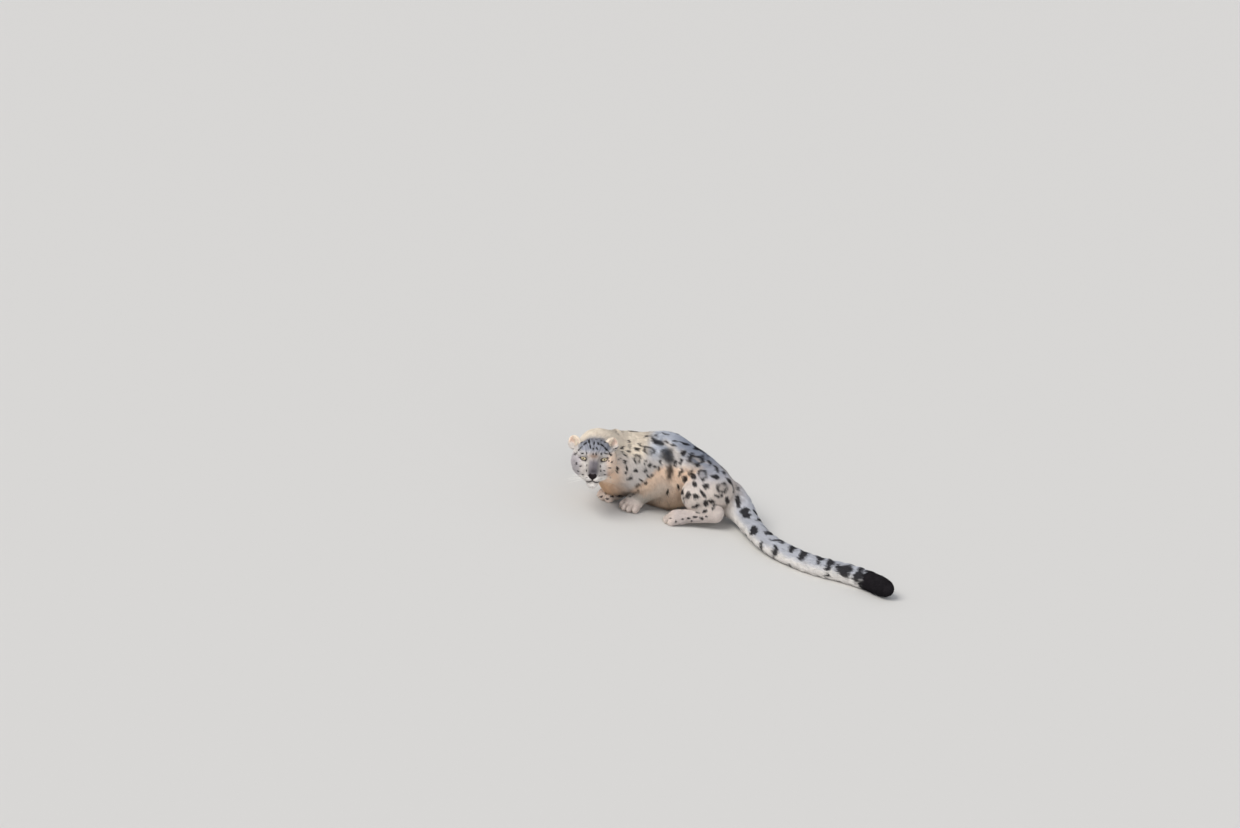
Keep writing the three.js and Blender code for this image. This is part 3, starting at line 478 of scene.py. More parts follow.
# How softly each part runs into the ones before it
SKIN_BLENDS = dict(neck=56, upper=28, tail=36, head=30, paw=20, lower=13)


def skin_field(p, carved=False):
    inset, soft = SKIN_INSETS, SKIN_BLENDS
    d = blend(trunk_field(p) + inset["trunk"], neck_form(p) + inset["neck"], soft["neck"])
    for leg in LEGS:
        d = blend(d, leg.upper(p) + inset["upper"], soft["upper"])
    d = blend(d, tail_field(p), soft["tail"])
    near_head = within(HEAD.origin + [0, 52, -14], 190, lambda q: head_field(q, True, carved))
    d = blend(d, near_head(p), soft["head"])
    for leg in LEGS:
        low_leg = blend(leg.lower(p) + inset["lower"], leg.paw(p) + inset["paw"], soft["paw"])
        d = blend(d, low_leg, soft["lower"])
    if carved:
        for line, depth, width in FOLDS:
            d = d + depth * hump(line_distance(p, line), width)
    return np.maximum(d, FLOOR_CLEAR - p[:, 2])


# Camera: the photograph's long lens looks along +Y and down, and leans so that the floor falls to the right.
# Its pivot is the plan's origin on the floor, at a pixel of the photograph.
PHOTO_SIZE = np.array([1240.0, 828.0])
PHOTO_PIVOT = np.array([662.0, 522.0])
PIXELS_PER_METRE = 240.0
CAMERA_ELEVATION, CAMERA_LEAN = math.radians(20), math.radians(10)
LENS, SENSOR = 400.0, 36.0
VIEW_AHEAD = np.array([0, math.cos(CAMERA_ELEVATION), -math.sin(CAMERA_ELEVATION)])
LEVEL_UP = np.array([0, math.sin(CAMERA_ELEVATION), math.cos(CAMERA_ELEVATION)])
PHOTO_RIGHT = np.array([1, 0, 0]) * math.cos(CAMERA_LEAN) + LEVEL_UP * math.sin(CAMERA_LEAN)
PHOTO_UP = np.cross(PHOTO_RIGHT, VIEW_AHEAD)


def to_photo(p):
    """Plan millimetres to the photograph's pixels, as its camera sees them."""
    scale = PIXELS_PER_METRE * MM
    return PHOTO_PIVOT + np.c_[p @ PHOTO_RIGHT, -(p @ PHOTO_UP)] * scale


def from_photo(pixel):
    """A pixel to the point of the plane through the pivot that it shows, in plan millimetres."""
    off = (np.asarray(pixel, float) - PHOTO_PIVOT) / (PIXELS_PER_METRE * MM)
    return PHOTO_RIGHT * off[0] - PHOTO_UP * off[1]


# A ray starts this far before the pivot's plane, and each step takes it this share of the way to the skin
RAY_START, RAY_STEPS, RAY_STRIDE = 1500, 90, 0.8


def seen_places(pixels):
    """Where the pixels' rays meet the body, in plan millimetres, and whether they do."""
    p = np.array([from_photo(pixel) for pixel in pixels]) - VIEW_AHEAD * RAY_START
    for _ in range(RAY_STEPS):
        p = p + VIEW_AHEAD * skin_field(p)[:, None] * RAY_STRIDE
    return p, np.abs(skin_field(p)) < 1


# Folds of the coat that the photograph shows: a line of its pixels, a depth and a width in millimetres
FOLD_PIXELS = [
    ([(660, 443), (667, 450), (670, 458), (670, 467), (671, 478)], 30.0, 17.0),
    ([(659.5, 452), (659.5, 461), (657, 469), (649.5, 476)], 7.0, 8.0),
    ([(616, 492), (628, 488.5), (641, 482), (648, 476)], 8.0, 9.0),
    ([(679, 452), (676, 462), (675, 474), (678, 486), (686, 498)], 8.0, 10.0),
    ([(688, 456), (696, 461), (705, 463)], 6.0, 8.0),
]
FOLDS = [(seen_places(pixels)[0], depth, width) for pixels, depth, width in FOLD_PIXELS]

# Meshing: one net of the field on a grid, then finer triangles where the face needs them
BLOCK = 4
CORNERS = np.array([[i & 1, i >> 1 & 1, i >> 2] for i in range(8)])
CELL_EDGES = [(a, b) for a in range(8) for b in range(a + 1, 8) if bin(a ^ b).count("1") == 1]


def sampled(field, low, cell, blocks):
    index = np.stack(np.meshgrid(*[np.arange(n) for n in blocks], indexing="ij"), -1).reshape(-1, 3)
    coarse = field(low + (index * BLOCK + (BLOCK - 1) / 2) * cell)
    values = coarse.reshape(blocks)
    for axis in range(3):
        values = np.repeat(values, BLOCK, axis)
    near = index[np.abs(coarse) < 7 * cell]
    inner = np.stack(np.meshgrid(*[np.arange(BLOCK)] * 3, indexing="ij"), -1).reshape(-1, 3)
    fine = (near[:, None] * BLOCK + inner).reshape(-1, 3)
    values[tuple(fine.T)] = field(low + fine * cell)
    return values


def halved(quads):
    """Each quad as two triangles."""
    return np.vstack([quads[:, [0, 1, 2]], quads[:, [0, 2, 3]]])


def surface_net(field, low, high, cell):
    low = np.asarray(low, float)
    blocks = np.ceil((np.asarray(high) - low) / cell / BLOCK).astype(int)
    values = sampled(field, low, cell, blocks)
    inside = values < 0
    shape = np.array(inside.shape) - 1
    count = np.zeros(shape, np.int8)
    for x, y, z in CORNERS:
        count += inside[x:x + shape[0], y:y + shape[1], z:z + shape[2]]
    cells = np.argwhere((count > 0) & (count < 8))
    at = [values[tuple((cells + c).T)] for c in CORNERS]
    total, hits = np.zeros((len(cells), 3)), np.zeros(len(cells))
    for a, b in CELL_EDGES:
        cut = (at[a] < 0) != (at[b] < 0)
        t = at[a][cut] / (at[a][cut] - at[b][cut])
        total[cut] += CORNERS[a] + (CORNERS[b] - CORNERS[a]) * t[:, None]
        hits[cut] += 1
    points = low + (cells + total / hits[:, None]) * cell
    number = np.full(shape, -1, np.int64)
    number[tuple(cells.T)] = np.arange(len(cells))
    quads = []
    for axis in range(3):
        b, c = np.eye(3, dtype=int)[(axis + 1) % 3], np.eye(3, dtype=int)[(axis + 2) % 3]
        a = np.eye(3, dtype=int)[axis]
        trimmed = [slice(1, -1)] * 3
        trimmed[axis] = slice(0, -1)
        here = inside[tuple(trimmed)]
        ahead = [slice(1, -1)] * 3
        ahead[axis] = slice(1, None)
        there = inside[tuple(ahead)]
        for start, flip in ((here & ~there, False), (~here & there, True)):
            edge = np.argwhere(start) + 1 - a
            ring = [number[tuple((edge - o).T)] for o in (b + c, c, 0 * a, b)]
            quads.append(np.stack(ring[::-1] if flip else ring, 1))
    return points, halved(np.vstack(quads))


def refined(points, triangles, chosen):
    """Splits the chosen triangles in four, and their neighbours as far as that takes."""
    ends = np.sort(np.stack([triangles, np.roll(triangles, -1, 1)], 2), 2)
    keys = ends[:, :, 0] * len(points) + ends[:, :, 1]
    split = np.unique(keys[chosen])
    new_points = (points[split // len(points)] + points[split % len(points)]) / 2
    place = np.searchsorted(split, keys)
    place[place == len(split)] = 0
    cut = split[place] == keys
    middle = place + len(points)
    made = [triangles[~cut.any(1)]]
    for turn in range(3):
        t, c, m = (np.roll(x, -turn, 1) for x in (triangles, cut, middle))
        one = c[:, 0] & ~c[:, 1] & ~c[:, 2]
        made += [np.c_[t[one, 0], m[one, 0], t[one, 2]], np.c_[m[one, 0], t[one, 1], t[one, 2]]]
        two = c[:, 0] & c[:, 1] & ~c[:, 2]
        made += [
            np.c_[m[two, 0], t[two, 1], m[two, 1]],
            np.c_[t[two, 0], m[two, 0], m[two, 1]],
            np.c_[t[two, 0], m[two, 1], t[two, 2]],
        ]
    t, m = triangles[cut.all(1)], middle[cut.all(1)]
    made += [
        np.c_[t[:, 0], m[:, 0], m[:, 2]], np.c_[m[:, 0], t[:, 1], m[:, 1]],
        np.c_[m[:, 2], m[:, 1], t[:, 2]], m,
    ]
    return np.vstack([points, new_points]), np.vstack(made)


def gradient(field, p, step=0.4):
    out = np.empty_like(p)
    for axis in range(3):
        off = np.zeros(3)
        off[axis] = step
        out[:, axis] = field(p + off) - field(p - off)
    return unit(out)


def settled(field, p, rounds=2):
    for _ in range(rounds):
        p = p - gradient(field, p) * np.clip(field(p), -6, 6)[:, None] * 0.9
    return p


def relaxed(points, triangles, share):
    total, count = np.zeros_like(points), np.zeros(len(points))
    for a, b in ((0, 1), (1, 2), (2, 0)):
        for i, j in ((a, b), (b, a)):
            for axis in range(3):
                total[:, axis] += np.bincount(triangles[:, i], points[triangles[:, j], axis], len(points))
            count += np.bincount(triangles[:, i], minlength=len(points))
    return mix(points, total / np.maximum(count, 1)[:, None], share)


def vertex_normals(points, triangles):
    a, b, c = (points[triangles[:, i]] for i in range(3))
    face = np.cross(b - a, c - a)
    out = np.zeros_like(points)
    for i in range(3):
        for axis in range(3):
            out[:, axis] += np.bincount(triangles[:, i], face[:, axis], len(points))
    return unit(out)


BODY_LOW, BODY_HIGH = [-470, -520, -20], [1040, 400, 370]
SKIN_CELL = 5.8


# How far round the eyes and the mouth the skin is split at the second and third levels
EYE_DETAIL, MOUTH_DETAIL = (None, 36, 26), (None, 44, 30)
FACE_DETAIL, EAR_DETAIL = 150, 38
MOUTH = [14, -78, 44]


def near_face(p, level):
    """Which places are split at each level: all the face, then eyes, mouth and ears, then eyes and mouth."""
    q = HEAD.local(p)
    m = mirrored_abs(q)
    if level == 0:
        chosen = np.linalg.norm(q - [0, -5, -30], axis=1) < FACE_DETAIL
    else:
        by_mouth = np.linalg.norm(m - MOUTH, axis=1) < MOUTH_DETAIL[level]
        chosen = near_eye(m, EYE_DETAIL[level]) | by_mouth & (m[:, 2] > 8)
    if level == 1:
        chosen |= np.linalg.norm(at_ear(q) - EAR_MIDDLE, axis=1) < EAR_DETAIL
    return chosen & (q[:, 2] > -100)


def carved_field(p):
    return skin_field(p, True)


def make_skin():
    points, triangles = surface_net(skin_field, BODY_LOW, BODY_HIGH, SKIN_CELL)
    points = settled(skin_field, relaxed(points, triangles, 0.4))
    for level in range(3):
        middle = points[triangles].mean(1)
        points, triangles = refined(points, triangles, near_face(middle, level))
        points = settled(carved_field, relaxed(points, triangles, 0.25), 3)
    return points, triangles


skin_points, skin_triangles = make_skin()
skin_normals = vertex_normals(skin_points, skin_triangles)

# How the coat grows on each part of the body, in millimetres: tuft length, how far tips stand off the skin,
# tuft width and spacing
COAT = dict(
    trunk=dict(long=34, proud=11, wide=2.9, spacing=2.35),
    neck=dict(long=34, proud=10, wide=2.9, spacing=2.35),
    upper=dict(long=29, proud=10, wide=2.8, spacing=2.3),
    lower=dict(long=18, proud=6.5, wide=2.1, spacing=1.95),
    paw=dict(long=10, proud=3.8, wide=1.5, spacing=1.75),
    head=dict(long=9.5, proud=2.8, wide=1.35, spacing=1.45),
    tail=dict(long=46, proud=12.5, wide=3.6, spacing=2.7),
)
PARTS = (
    [("trunk", trunk_field), ("neck", neck_form)]
    + [("upper", leg.upper) for leg in LEGS]
    + [("lower", leg.lower) for leg in LEGS]
    + [("paw", leg.paw) for leg in LEGS]
    + [("tail", tail_field), ("head", lambda p: head_field(p, False, False))]
)
PART_KINDS = [name for name, _ in PARTS]
SOFTNESS = 15.0
ROWS_AT_ONCE = 20000


def part_shares(p):
    """How much each part of the body has a say at each point."""
    insets = [SKIN_INSETS.get(name, 0.0) for name, _ in PARTS]
    d = np.stack([field(p) + inset for (_, field), inset in zip(PARTS, insets)], 1)
    share = np.exp(-(d - d.min(1, keepdims=True)) / SOFTNESS)
    return share / share.sum(1, keepdims=True)


def tail_place(p):
    """How far along the tail each point is, from 0 to 1, and the tail's direction there."""
    best = np.empty(len(p), int)
    for start in range(0, len(p), ROWS_AT_ONCE):
        rows = p[start:start + ROWS_AT_ONCE]
        best[start:start + ROWS_AT_ONCE] = np.argmin(((rows[:, None] - tail_fine) ** 2).sum(2), 1)
    direction = unit(np.gradient(tail_fine, axis=0))
    return best / (len(tail_fine) - 1), direction[best]


def head_lie(p):
    """On the face the coat runs back from the nose, over the crown and down the cheeks, and up the ears."""
    q = HEAD.local(p)
    from_nose = unit(q - [0, -50, 74])
    down = np.where(q[:, 1] < -10, -0.5, 0.1)
    lie = from_nose + np.c_[0.25 * np.sign(q[:, 0]), down, np.full(len(q), -0.4)]
    e = at_ear(q)
    on_ear = smooth_step(-ear_shell(e), -6, 0) * smooth_step(e[:, 1], 40, 52)
    up_ear = np.c_[np.sign(q[:, 0]) * EAR_AXES[1][0], np.full(len(q), EAR_AXES[1][1]), np.zeros(len(q))]
    return HEAD.turned(mix(unit(lie), up_ear, on_ear[:, None])), on_ear


shares = part_shares(skin_points)
tail_t, tail_direction = tail_place(skin_points)
LIE_ROUNDS = 14


def skin_lie():
    """Which way the coat lies on the skin: each part's own way by its share, then evened out."""
    count = len(skin_points)
    height = skin_points[:, 2]
    skirt = smooth_step(-height, -130, -60)
    trunk_rise = -0.75 + 0.5 * smooth_step(height, 90, 300) - 0.4 * skirt
    neck_rise = -0.65 + 0.65 * smooth_step(height, 120, 270)
    ways = [
        np.c_[1 - 0.5 * skirt, np.zeros(count), trunk_rise],
        np.c_[np.full(count, 0.8), np.full(count, 0.4), neck_rise],
        *[leg.lies[0] for leg in LEGS],
        *[leg.lies[1] for leg in LEGS],
        *[leg.lies[2] + [0, 0, -0.3] for leg in LEGS],
        tail_direction,
        head_lie(skin_points)[0],
    ]
    lies = sum(unit(way) * share[:, None] for way, share in zip(ways, shares.T))
    for _ in range(LIE_ROUNDS):
        lies = relaxed(lies, skin_triangles, 0.8)
        lies = unit(lies - (lies * skin_normals).sum(1, keepdims=True) * skin_normals)
    return lies


def spread(key):
    return shares @ np.array([COAT[kind][key] for kind in PART_KINDS], float)


skin_lies = skin_lie()
head_local = HEAD.local(skin_points)
head_mirror = mirrored_abs(head_local)
head_share = shares[:, PART_KINDS.index("head")]
tail_share = shares[:, PART_KINDS.index("tail")]
on_ear = head_lie(skin_points)[1] * head_share
WITHERS = np.array([-252.0, 134, 320])


def coat_sizes(bare):
    """The tufts at each point of the skin: length, height of the tips, width, how closely they follow the
    skin, how far they hang and their spacing. They are longer on cheeks and belly, and shorter on the muzzle,
    the ears, the withers, by the eyes, in folds and at the tail's end."""
    long, proud, wide, spacing = (spread(key) for key in ("long", "proud", "wide", "spacing"))
    x, y, z = head_mirror.T
    ruff = head_share * np.maximum(smooth_step(-z, -4, 46), smooth_step(x, 56, 76)) * (1 - on_ear)
    long += ruff * (12 + 9 * smooth_step(-y, 0, 70))
    proud += ruff * 5.5
    wide += ruff * 0.9
    spacing += ruff * 0.8
    snout = head_share * smooth_step(z, 10, 50)
    long -= snout * 4.0
    proud -= snout * 1.2
    wide -= snout * 0.3
    spacing -= snout * 0.15
    height = skin_points[:, 2]
    skirt = smooth_step(-skin_normals[:, 2], -0.1, 0.45) * smooth_step(-height, -150, -80)
    below = (shares[:, 0] + 0.5 * shares[:, 1]) * (skirt * smooth_step(height, 14, 34))
    long += below * 24
    proud += below * 6
    wide += below * 0.7
    in_fold = sum(hump(line_distance(skin_points, line), 1.2 * width) for line, _, width in FOLDS)
    on_withers = hump(np.linalg.norm(skin_points - WITHERS, axis=1), 50)
    tip = tail_share * smooth_step(tail_t, 0.93, 1.0)
    long *= (1 - 0.35 * np.minimum(in_fold, 1)) * (1 - 0.45 * on_withers) * (1 - 0.45 * tip)
    proud *= (1 - 0.4 * on_withers) * (1 - 0.4 * tip)
    long *= 1 - 0.45 * on_ear
    spacing *= 1 - 0.1 * on_ear
    proud *= (1 - 0.7 * bare) * (1 - 0.5 * on_ear)
    by_eye = head_share * near_eye(head_mirror, 36) * hump(np.maximum(almond(head_mirror) - 3, 0), 7)
    long *= 1 - 0.55 * by_eye
    follow = 1 - 0.85 * below - 0.5 * ruff
    return dict(long=long, proud=proud, wide=wide, follow=follow, hang=28 * below, spacing=spacing)


bare_share = head_share * bare_skin(head_mirror)
tufts = coat_sizes(bare_share)

# Markings. A mark is a centre and two half sizes in the photograph's pixels, a clockwise turn in degrees and
# a kind: a solid spot, a ring that is the broken rosette of the flanks, or the soft shade in a hollow of the
# coat, deep or faint.
# SHADE and FAINT_SHADE marks are painted shade, deep and faint, in the hollows of the coat and under the
# chest
SPOT, RING, SHADE, FAINT_SHADE = range(4)
SHADE_DEPTH = {SHADE: 0.92, FAINT_SHADE: 0.62}
Mark = namedtuple("Mark", "x y wide high turn kind", defaults=(0, SPOT))
SHOULDER_MARKS = [
    # The first is a faint painted shade
    (616.2, 433.8, 1, 3, -35, FAINT_SHADE), (628, 442.8, 1.4, 1.8), (628.8, 447.3, 1.3, 2.2),
    (620.7, 448, 1.6, 1.3), (628, 452, 2.1, 1.1, 8), (621, 452, 1.4, 0.9), (624.5, 455.2, 3, 1.1, 28),
    (619, 458.5, 0.8, 1.3), (624.3, 461.5, 2.3, 1.9, -10), (626.5, 468, 1.7, 2),
    (625.2, 471.8, 2, 1.1, -10), (637, 450, 3, 1.7), (640, 445.8, 1.4, 1.8, 10), (645.6, 438.2, 1.9, 1),
    (648.6, 451.3, 7, 3.5, 5, RING), (637, 459.2, 3.5, 5, 0, RING), (645.3, 461.8, 0.9, 3.2, 32),
    (649.2, 465, 2.4, 2, 20), (654.2, 466.6, 1.8, 1.6), (644.7, 470.2, 2.1, 2), (635.2, 470, 2.4, 1.7, -20),
    (630, 477.4, 2.9, 1.5, -30), (640.7, 480, 2, 1.1, 15), (645.7, 482.2, 1.9, 2.4),
    (647.5, 475.3, 1.8, 0.9, 20), (651.7, 474.6, 1.6, 0.9, -20), (657.7, 468.5, 1, 1.7, 15),
    (659.5, 462, 1.1, 2.3), (661.5, 451.7, 1.6, 1.4), (654.5, 442, 4.2, 1.8, 30), (617.2, 468.8, 1.4, 3.2),
    (667.2, 491.5, 1.3, 2.6, 20), (669, 499, 1.1, 2.4),
]
BACK_MARKS = [
    # The first three are painted shade in the deep crease behind the shoulder
    (667.8, 456, 7.4, 8.8, 0, SHADE), (669, 471.5, 3.6, 9, 0, SHADE), (657, 442.5, 9, 3.2, 28, SHADE),
    (667, 442.5, 2.3, 1.3, 20), (675.4, 442, 2.8, 1, 10), (673.5, 445.6, 2.5, 1, 15), (656, 437, 1.6, 1),
    (664.5, 435.5, 3.4, 0.9, 14), (684, 444.6, 4.6, 1.1, 22), (694.5, 449.6, 3, 1.8, 18),
    (704.5, 456.5, 4, 4, 0, RING), (699, 451.5, 3, 1.1, 30), (708.6, 464, 1.4, 3.4, -20),
    (715.6, 470, 1.3, 4.8, -40), (719.2, 464.4, 1.1, 4.4, -40), (712.4, 458.4, 1.1, 3.4, -42),
    (723, 473.6, 1.1, 2.8, -35), (728.6, 481.6, 1.2, 4.4, -36), (735.2, 482.5, 1.4, 4.4, -30),
    (736.6, 490, 1.8, 2.4), (729.5, 474.6, 1.2, 3.8, -36),
]
THIGH_MARKS = [
    (682.6, 453.4, 2.7, 3), (675.2, 463, 2, 3.2, 10), (681, 461.8, 1.4, 3, 28),
    (695, 460.6, 8.2, 5, 8, RING), (697, 466, 2.6, 1.6), (691, 455.2, 2.6, 1.6), (681.3, 472.2, 1.6, 4, 18),
    (690, 471.8, 1, 3.8, 37), (685.4, 479.4, 2.4, 4.6, -28), (693.4, 476.6, 2.3, 5.2, -37),
    (695, 485, 2.3, 3.3, -40), (702.8, 476, 4.1, 6, -27, RING), (715, 477.6, 3.9, 2.7, 12),
    (721.8, 488, 5.6, 5.2, 25, RING), (716.3, 495.8, 2.7, 1.4), (720.8, 495, 1.7, 1.4),
    (705.9, 486.4, 2.9, 3.2, -25), (702.7, 494, 2, 4.4, -40), (688.6, 495.2, 2.7, 3.3, 10),
    (695.6, 496.6, 2.9, 2.9, -10), (695.2, 505.4, 3.7, 1.5, -26), (698, 512.4, 2.4, 1, 12),
    (705.2, 502.3, 2.7, 3), (711.5, 501, 3.9, 1.4, 10), (714.5, 505, 3.1, 1.6, -8), (704.8, 511, 2.3, 1.9),
    (713, 508.5, 1.5, 2.2), (726.3, 499.5, 2, 3.5, 5), (678.3, 486.8, 1.4, 3), (683, 491.5, 1, 3.1, -5),
    (684.8, 500.5, 0.7, 2.8), (688.3, 518.2, 1.8, 1.1), (694.8, 517, 2.2, 1.2, 8),
    (701.5, 518.3, 2.4, 1.3, 25), (691.3, 521, 0.9, 1.3), (687.5, 523, 1.3, 0.9),
    (706.5, 516.3, 1.4, 0.8, 10), (698.5, 522.5, 1.3, 1), (675.5, 521.5, 0.9, 1.2), (682, 519, 1.2, 0.8),
    (679, 524, 1.1, 0.7), (670.5, 518.5, 1, 0.7),
]
ARM_MARKS = [
    (638.8, 484.5, 3.8, 1.1, -18), (629.5, 488.6, 4.2, 1.2, -8), (638.2, 489.5, 2.4, 1.5, -18),
    (620.5, 490.5, 2.3, 1.4, -15), (628, 493.2, 4, 1.3, -4), (619, 495.5, 3.6, 1.5, -10),
    (626, 498.3, 2, 1.1), (630.6, 497.2, 1.3, 1), (617.5, 500.5, 1.8, 1.3), (612, 496.5, 2.2, 1.4),
    (606, 494, 1.6, 1), (601, 497, 1.4, 0.9), (607, 499, 1.4, 0.9), (634.6, 494.6, 1.2, 0.9),
    # Painted faint shade along the forearm under the chest
    (624, 493, 17, 5.6, -8, FAINT_SHADE),
]
TAIL_MARKS = [
    (736.6, 499.8, 2.3, 3.6), (738.6, 505.4, 2.1, 3.8, -15), (744.8, 512.5, 3.5, 4.1, -20),
    (746.9, 517, 3.9, 2.7, 20), (757.3, 521.3, 2.9, 2, -10), (754.3, 531.2, 3.5, 3.9, 10),
    (769.5, 535.2, 6, 1.5, 12), (777, 541.8, 6.4, 1.6, 14), (762, 544.8, 2.3, 3.7, 20),
    (775.7, 550.8, 2.7, 4.3), (791.2, 549.3, 3.8, 3.8, 10), (801.8, 554.6, 4, 6, 28),
    (790.3, 562.5, 1.5, 2.2), (817.8, 558.4, 4.7, 2.5, 10), (817, 562, 1.7, 2.6),
    (828.8, 562.3, 4.7, 3.2, -15), (826.6, 567, 2.3, 3.3), (842.6, 569.8, 7, 5.3, 10),
    (856.8, 574.2, 4.4, 5.6, 18), (820.6, 576.6, 2.4, 2.2), (807, 570.6, 3, 1.6, 30),
    (826.4, 573.6, 2.6, 1.6, 40),
]
FACE_MARKS = [
    (589.2, 441.6, 1.2, 2, -12), (590.4, 446.6, 0.9, 2.6, -16), (593.2, 448.8, 0.7, 1.6, 10),
    (597, 448.4, 0.8, 1.7, -30), (594.2, 443.4, 0.8, 2, 8), (598.4, 443.6, 1, 1.7, -30),
    (602.2, 445.4, 2.6, 0.9, 32), (606.2, 449.2, 3, 0.9, 44), (610, 453.8, 2.6, 0.8, 56),
    (585.4, 443.8, 2.4, 0.8, -38), (580.4, 448.6, 2.8, 0.7, -44), (576, 454, 2.6, 0.7, -56),
    (582.4, 453, 1.8, 0.8, -8), (586.7, 453.3, 0.8, 1.6, 8), (593.2, 453.8, 0.6, 1.4),
    (596.3, 453.8, 0.8, 1.4), (601.6, 453.8, 0.8, 1.6, -6), (605.9, 453.3, 2.2, 0.8, 8),
    (580.2, 456.9, 1.1, 0.7, -20), (607.6, 457.8, 1.2, 0.8, 25), (609.1, 460.8, 0.8, 0.9),
    (587, 465.4, 0.5, 1.5, 4), (600.3, 466.2, 0.5, 1.5, -4), (580.6, 466, 1.3, 0.7),
    (586.7, 470.6, 0.6, 1.2), (600.8, 470.8, 0.6, 1.2), (604.2, 470.6, 1.2, 0.6, 10),
    (609.6, 467.6, 1.6, 0.6, 12), (610.1, 475.6, 1.1, 0.7, 20), (606.3, 478.3, 1, 0.6, 25),
    (583, 474.6, 1.3, 0.6, 10), (578.6, 471, 1.2, 0.6, 15), (604.8, 474.4, 1, 0.5, 10),
    (576.4, 463.4, 0.8, 1.6, 10), (612.2, 461.8, 0.8, 1.2), (588.4, 475.2, 0.7, 0.4),
    (599.4, 475.8, 0.7, 0.4), (586.9, 477.4, 0.8, 0.4), (601.2, 478, 0.8, 0.4),
]
PHOTO_MARKS = [
    Mark(*row) for row in SHOULDER_MARKS + BACK_MARKS + THIGH_MARKS + ARM_MARKS + TAIL_MARKS + FACE_MARKS
]
NOISE_WAVES, NOISE_SPAN = 7, 3.2
HIDDEN_SEED = 1000
RING_HOLE, HOLE_PALER = 0.58, 0.68
RING_GAP, GAP_PALER = 0.35, 0.6


def hash_noise(p, scale, seed):
    """Smooth noise from -1 to 1 over points, made of a few waves."""
    rng = np.random.default_rng(seed)
    out = np.zeros(len(p))
    for _ in range(NOISE_WAVES):
        wave = unit(rng.normal(size=3)) * rng.uniform(0.7, 1.6) * 2 * math.pi / scale
        out += np.sin(p @ wave + rng.uniform(0, 2 * math.pi))
    return out / NOISE_SPAN


def ring_or_spot(x, y, kind, seed, soft):
    """How dark a mark is at x, y, in its own half sizes, with a broken and uneven outline."""
    rng = np.random.default_rng(seed)
    angle = np.arctan2(y, x)
    r = np.hypot(x, y)
    for waves in (2, 3, 5):
        r = r * (1 + rng.uniform(0.04, 0.13) * np.sin(waves * angle + rng.uniform(0, 6.3)))
    # Painted shade: a soft dark patch, deep or faint
    if kind in SHADE_DEPTH:
        return SHADE_DEPTH[kind] * smooth_step(1.25 - r, 0, 0.75)
    dark = smooth_step(1 - r, -soft, soft)
    if kind == RING:
        hole = smooth_step(RING_HOLE - r, -soft, soft)
        gap = hump(np.angle(np.exp(1j * (angle - rng.uniform(-3.14, 3.14)))), RING_GAP)
        dark = dark * (1 - HOLE_PALER * hole) * (1 - GAP_PALER * gap * (r > 0.5))
    return dark


def marks_in_place():
    """The photograph's marks that meet the body, each with its place on the skin."""
    places, seen = seen_places([(mark.x, mark.y) for mark in PHOTO_MARKS])
    return [(mark, place) for mark, place, met in zip(PHOTO_MARKS, places, seen) if met]


seen_marks = marks_in_place()
BIG_MARK, SMALL_MARK, FACE_MARK, FOOT_MARK, PAW_MARK = 17.0, 9.0, 6.0, 8.0, 4.5
MARK_SPACING, TAIL_MARK_SPACING = 2.55, 46.0
MARK_MARGIN = 14.0
UNSEEN_TRIES = 9000
# A pixel of the photograph in millimetres, as marks count it
PIXEL = 4.2


def unseen_sizes():
    """How long the marks of the unseen sides are at each point of the skin, and how far apart they lie."""
    paws = shares[:, [k for k, kind in enumerate(PART_KINDS) if kind == "paw"]].sum(1)
    trunk_like = shares[:, 0] + shares[:, 1] + shares[:, [2, 3, 4, 5]].sum(1)
    size = np.where(trunk_like > 0.6, BIG_MARK, SMALL_MARK)
    size = np.where(head_share > 0.5, FACE_MARK, size)
    size = np.where(tail_share > 0.5, BIG_MARK, size)
    size = np.where(skin_points[:, 2] < 60, np.minimum(size, FOOT_MARK), size)
    size = np.where((paws > 0.4) & (tail_share < 0.5), PAW_MARK, size)
    return size, np.where(tail_share > 0.5, TAIL_MARK_SPACING, size * MARK_SPACING)


def unseen_ground():
    """Which points of the skin the photograph doesn't show and may hold a mark: not the pale underside, the
    face, the throat, the nape's outline, the ears or bare skin."""
    x, y, z = head_mirror.T
    facing = skin_normals @ VIEW_AHEAD
    pale = (skin_normals[:, 2] < -0.45) & (tail_share < 0.5)
    face = (head_share > 0.3) & (z > -40)
    throat = (y < -50) & (x < 70) & (z > -130)
    nape = (shares[:, 1] > 0.3) & (facing < 0.3)
    furred = (on_ear < 0.2) & (bare_share < 0.1)
    return np.flatnonzero((facing > -0.12) & ~pale & ~face & ~throat & ~nape & furred)


def unseen_marks():
    """Marks of the sides that the photograph doesn't show, evenly strewn: rosettes on flanks and rump, spots
    elsewhere, and blotches round the tail."""
    rng = np.random.default_rng(SEED)
    size, spacing = unseen_sizes()
    centres = [place for _, place in seen_marks]
    reach = [MARK_MARGIN + PIXEL * max(mark.wide, mark.high) for mark, _ in seen_marks]
    chosen = []
    for i in rng.permutation(unseen_ground())[:UNSEEN_TRIES]:
        p = skin_points[i]
        gap = np.linalg.norm(np.array(centres) - p, axis=1)
        if (gap < (np.array(reach) + spacing[i]) / 2).any():
            continue
        centres.append(p)
        reach.append(spacing[i])
        long = size[i] * rng.uniform(0.85, 1.2)
        kind = RING if size[i] > 12 and tail_share[i] < 0.5 and rng.random() < 0.62 else SPOT
        chosen.append((p, skin_normals[i], skin_lies[i], long, long * rng.uniform(0.62, 0.85), kind))
    return chosen


hidden_marks = unseen_marks()


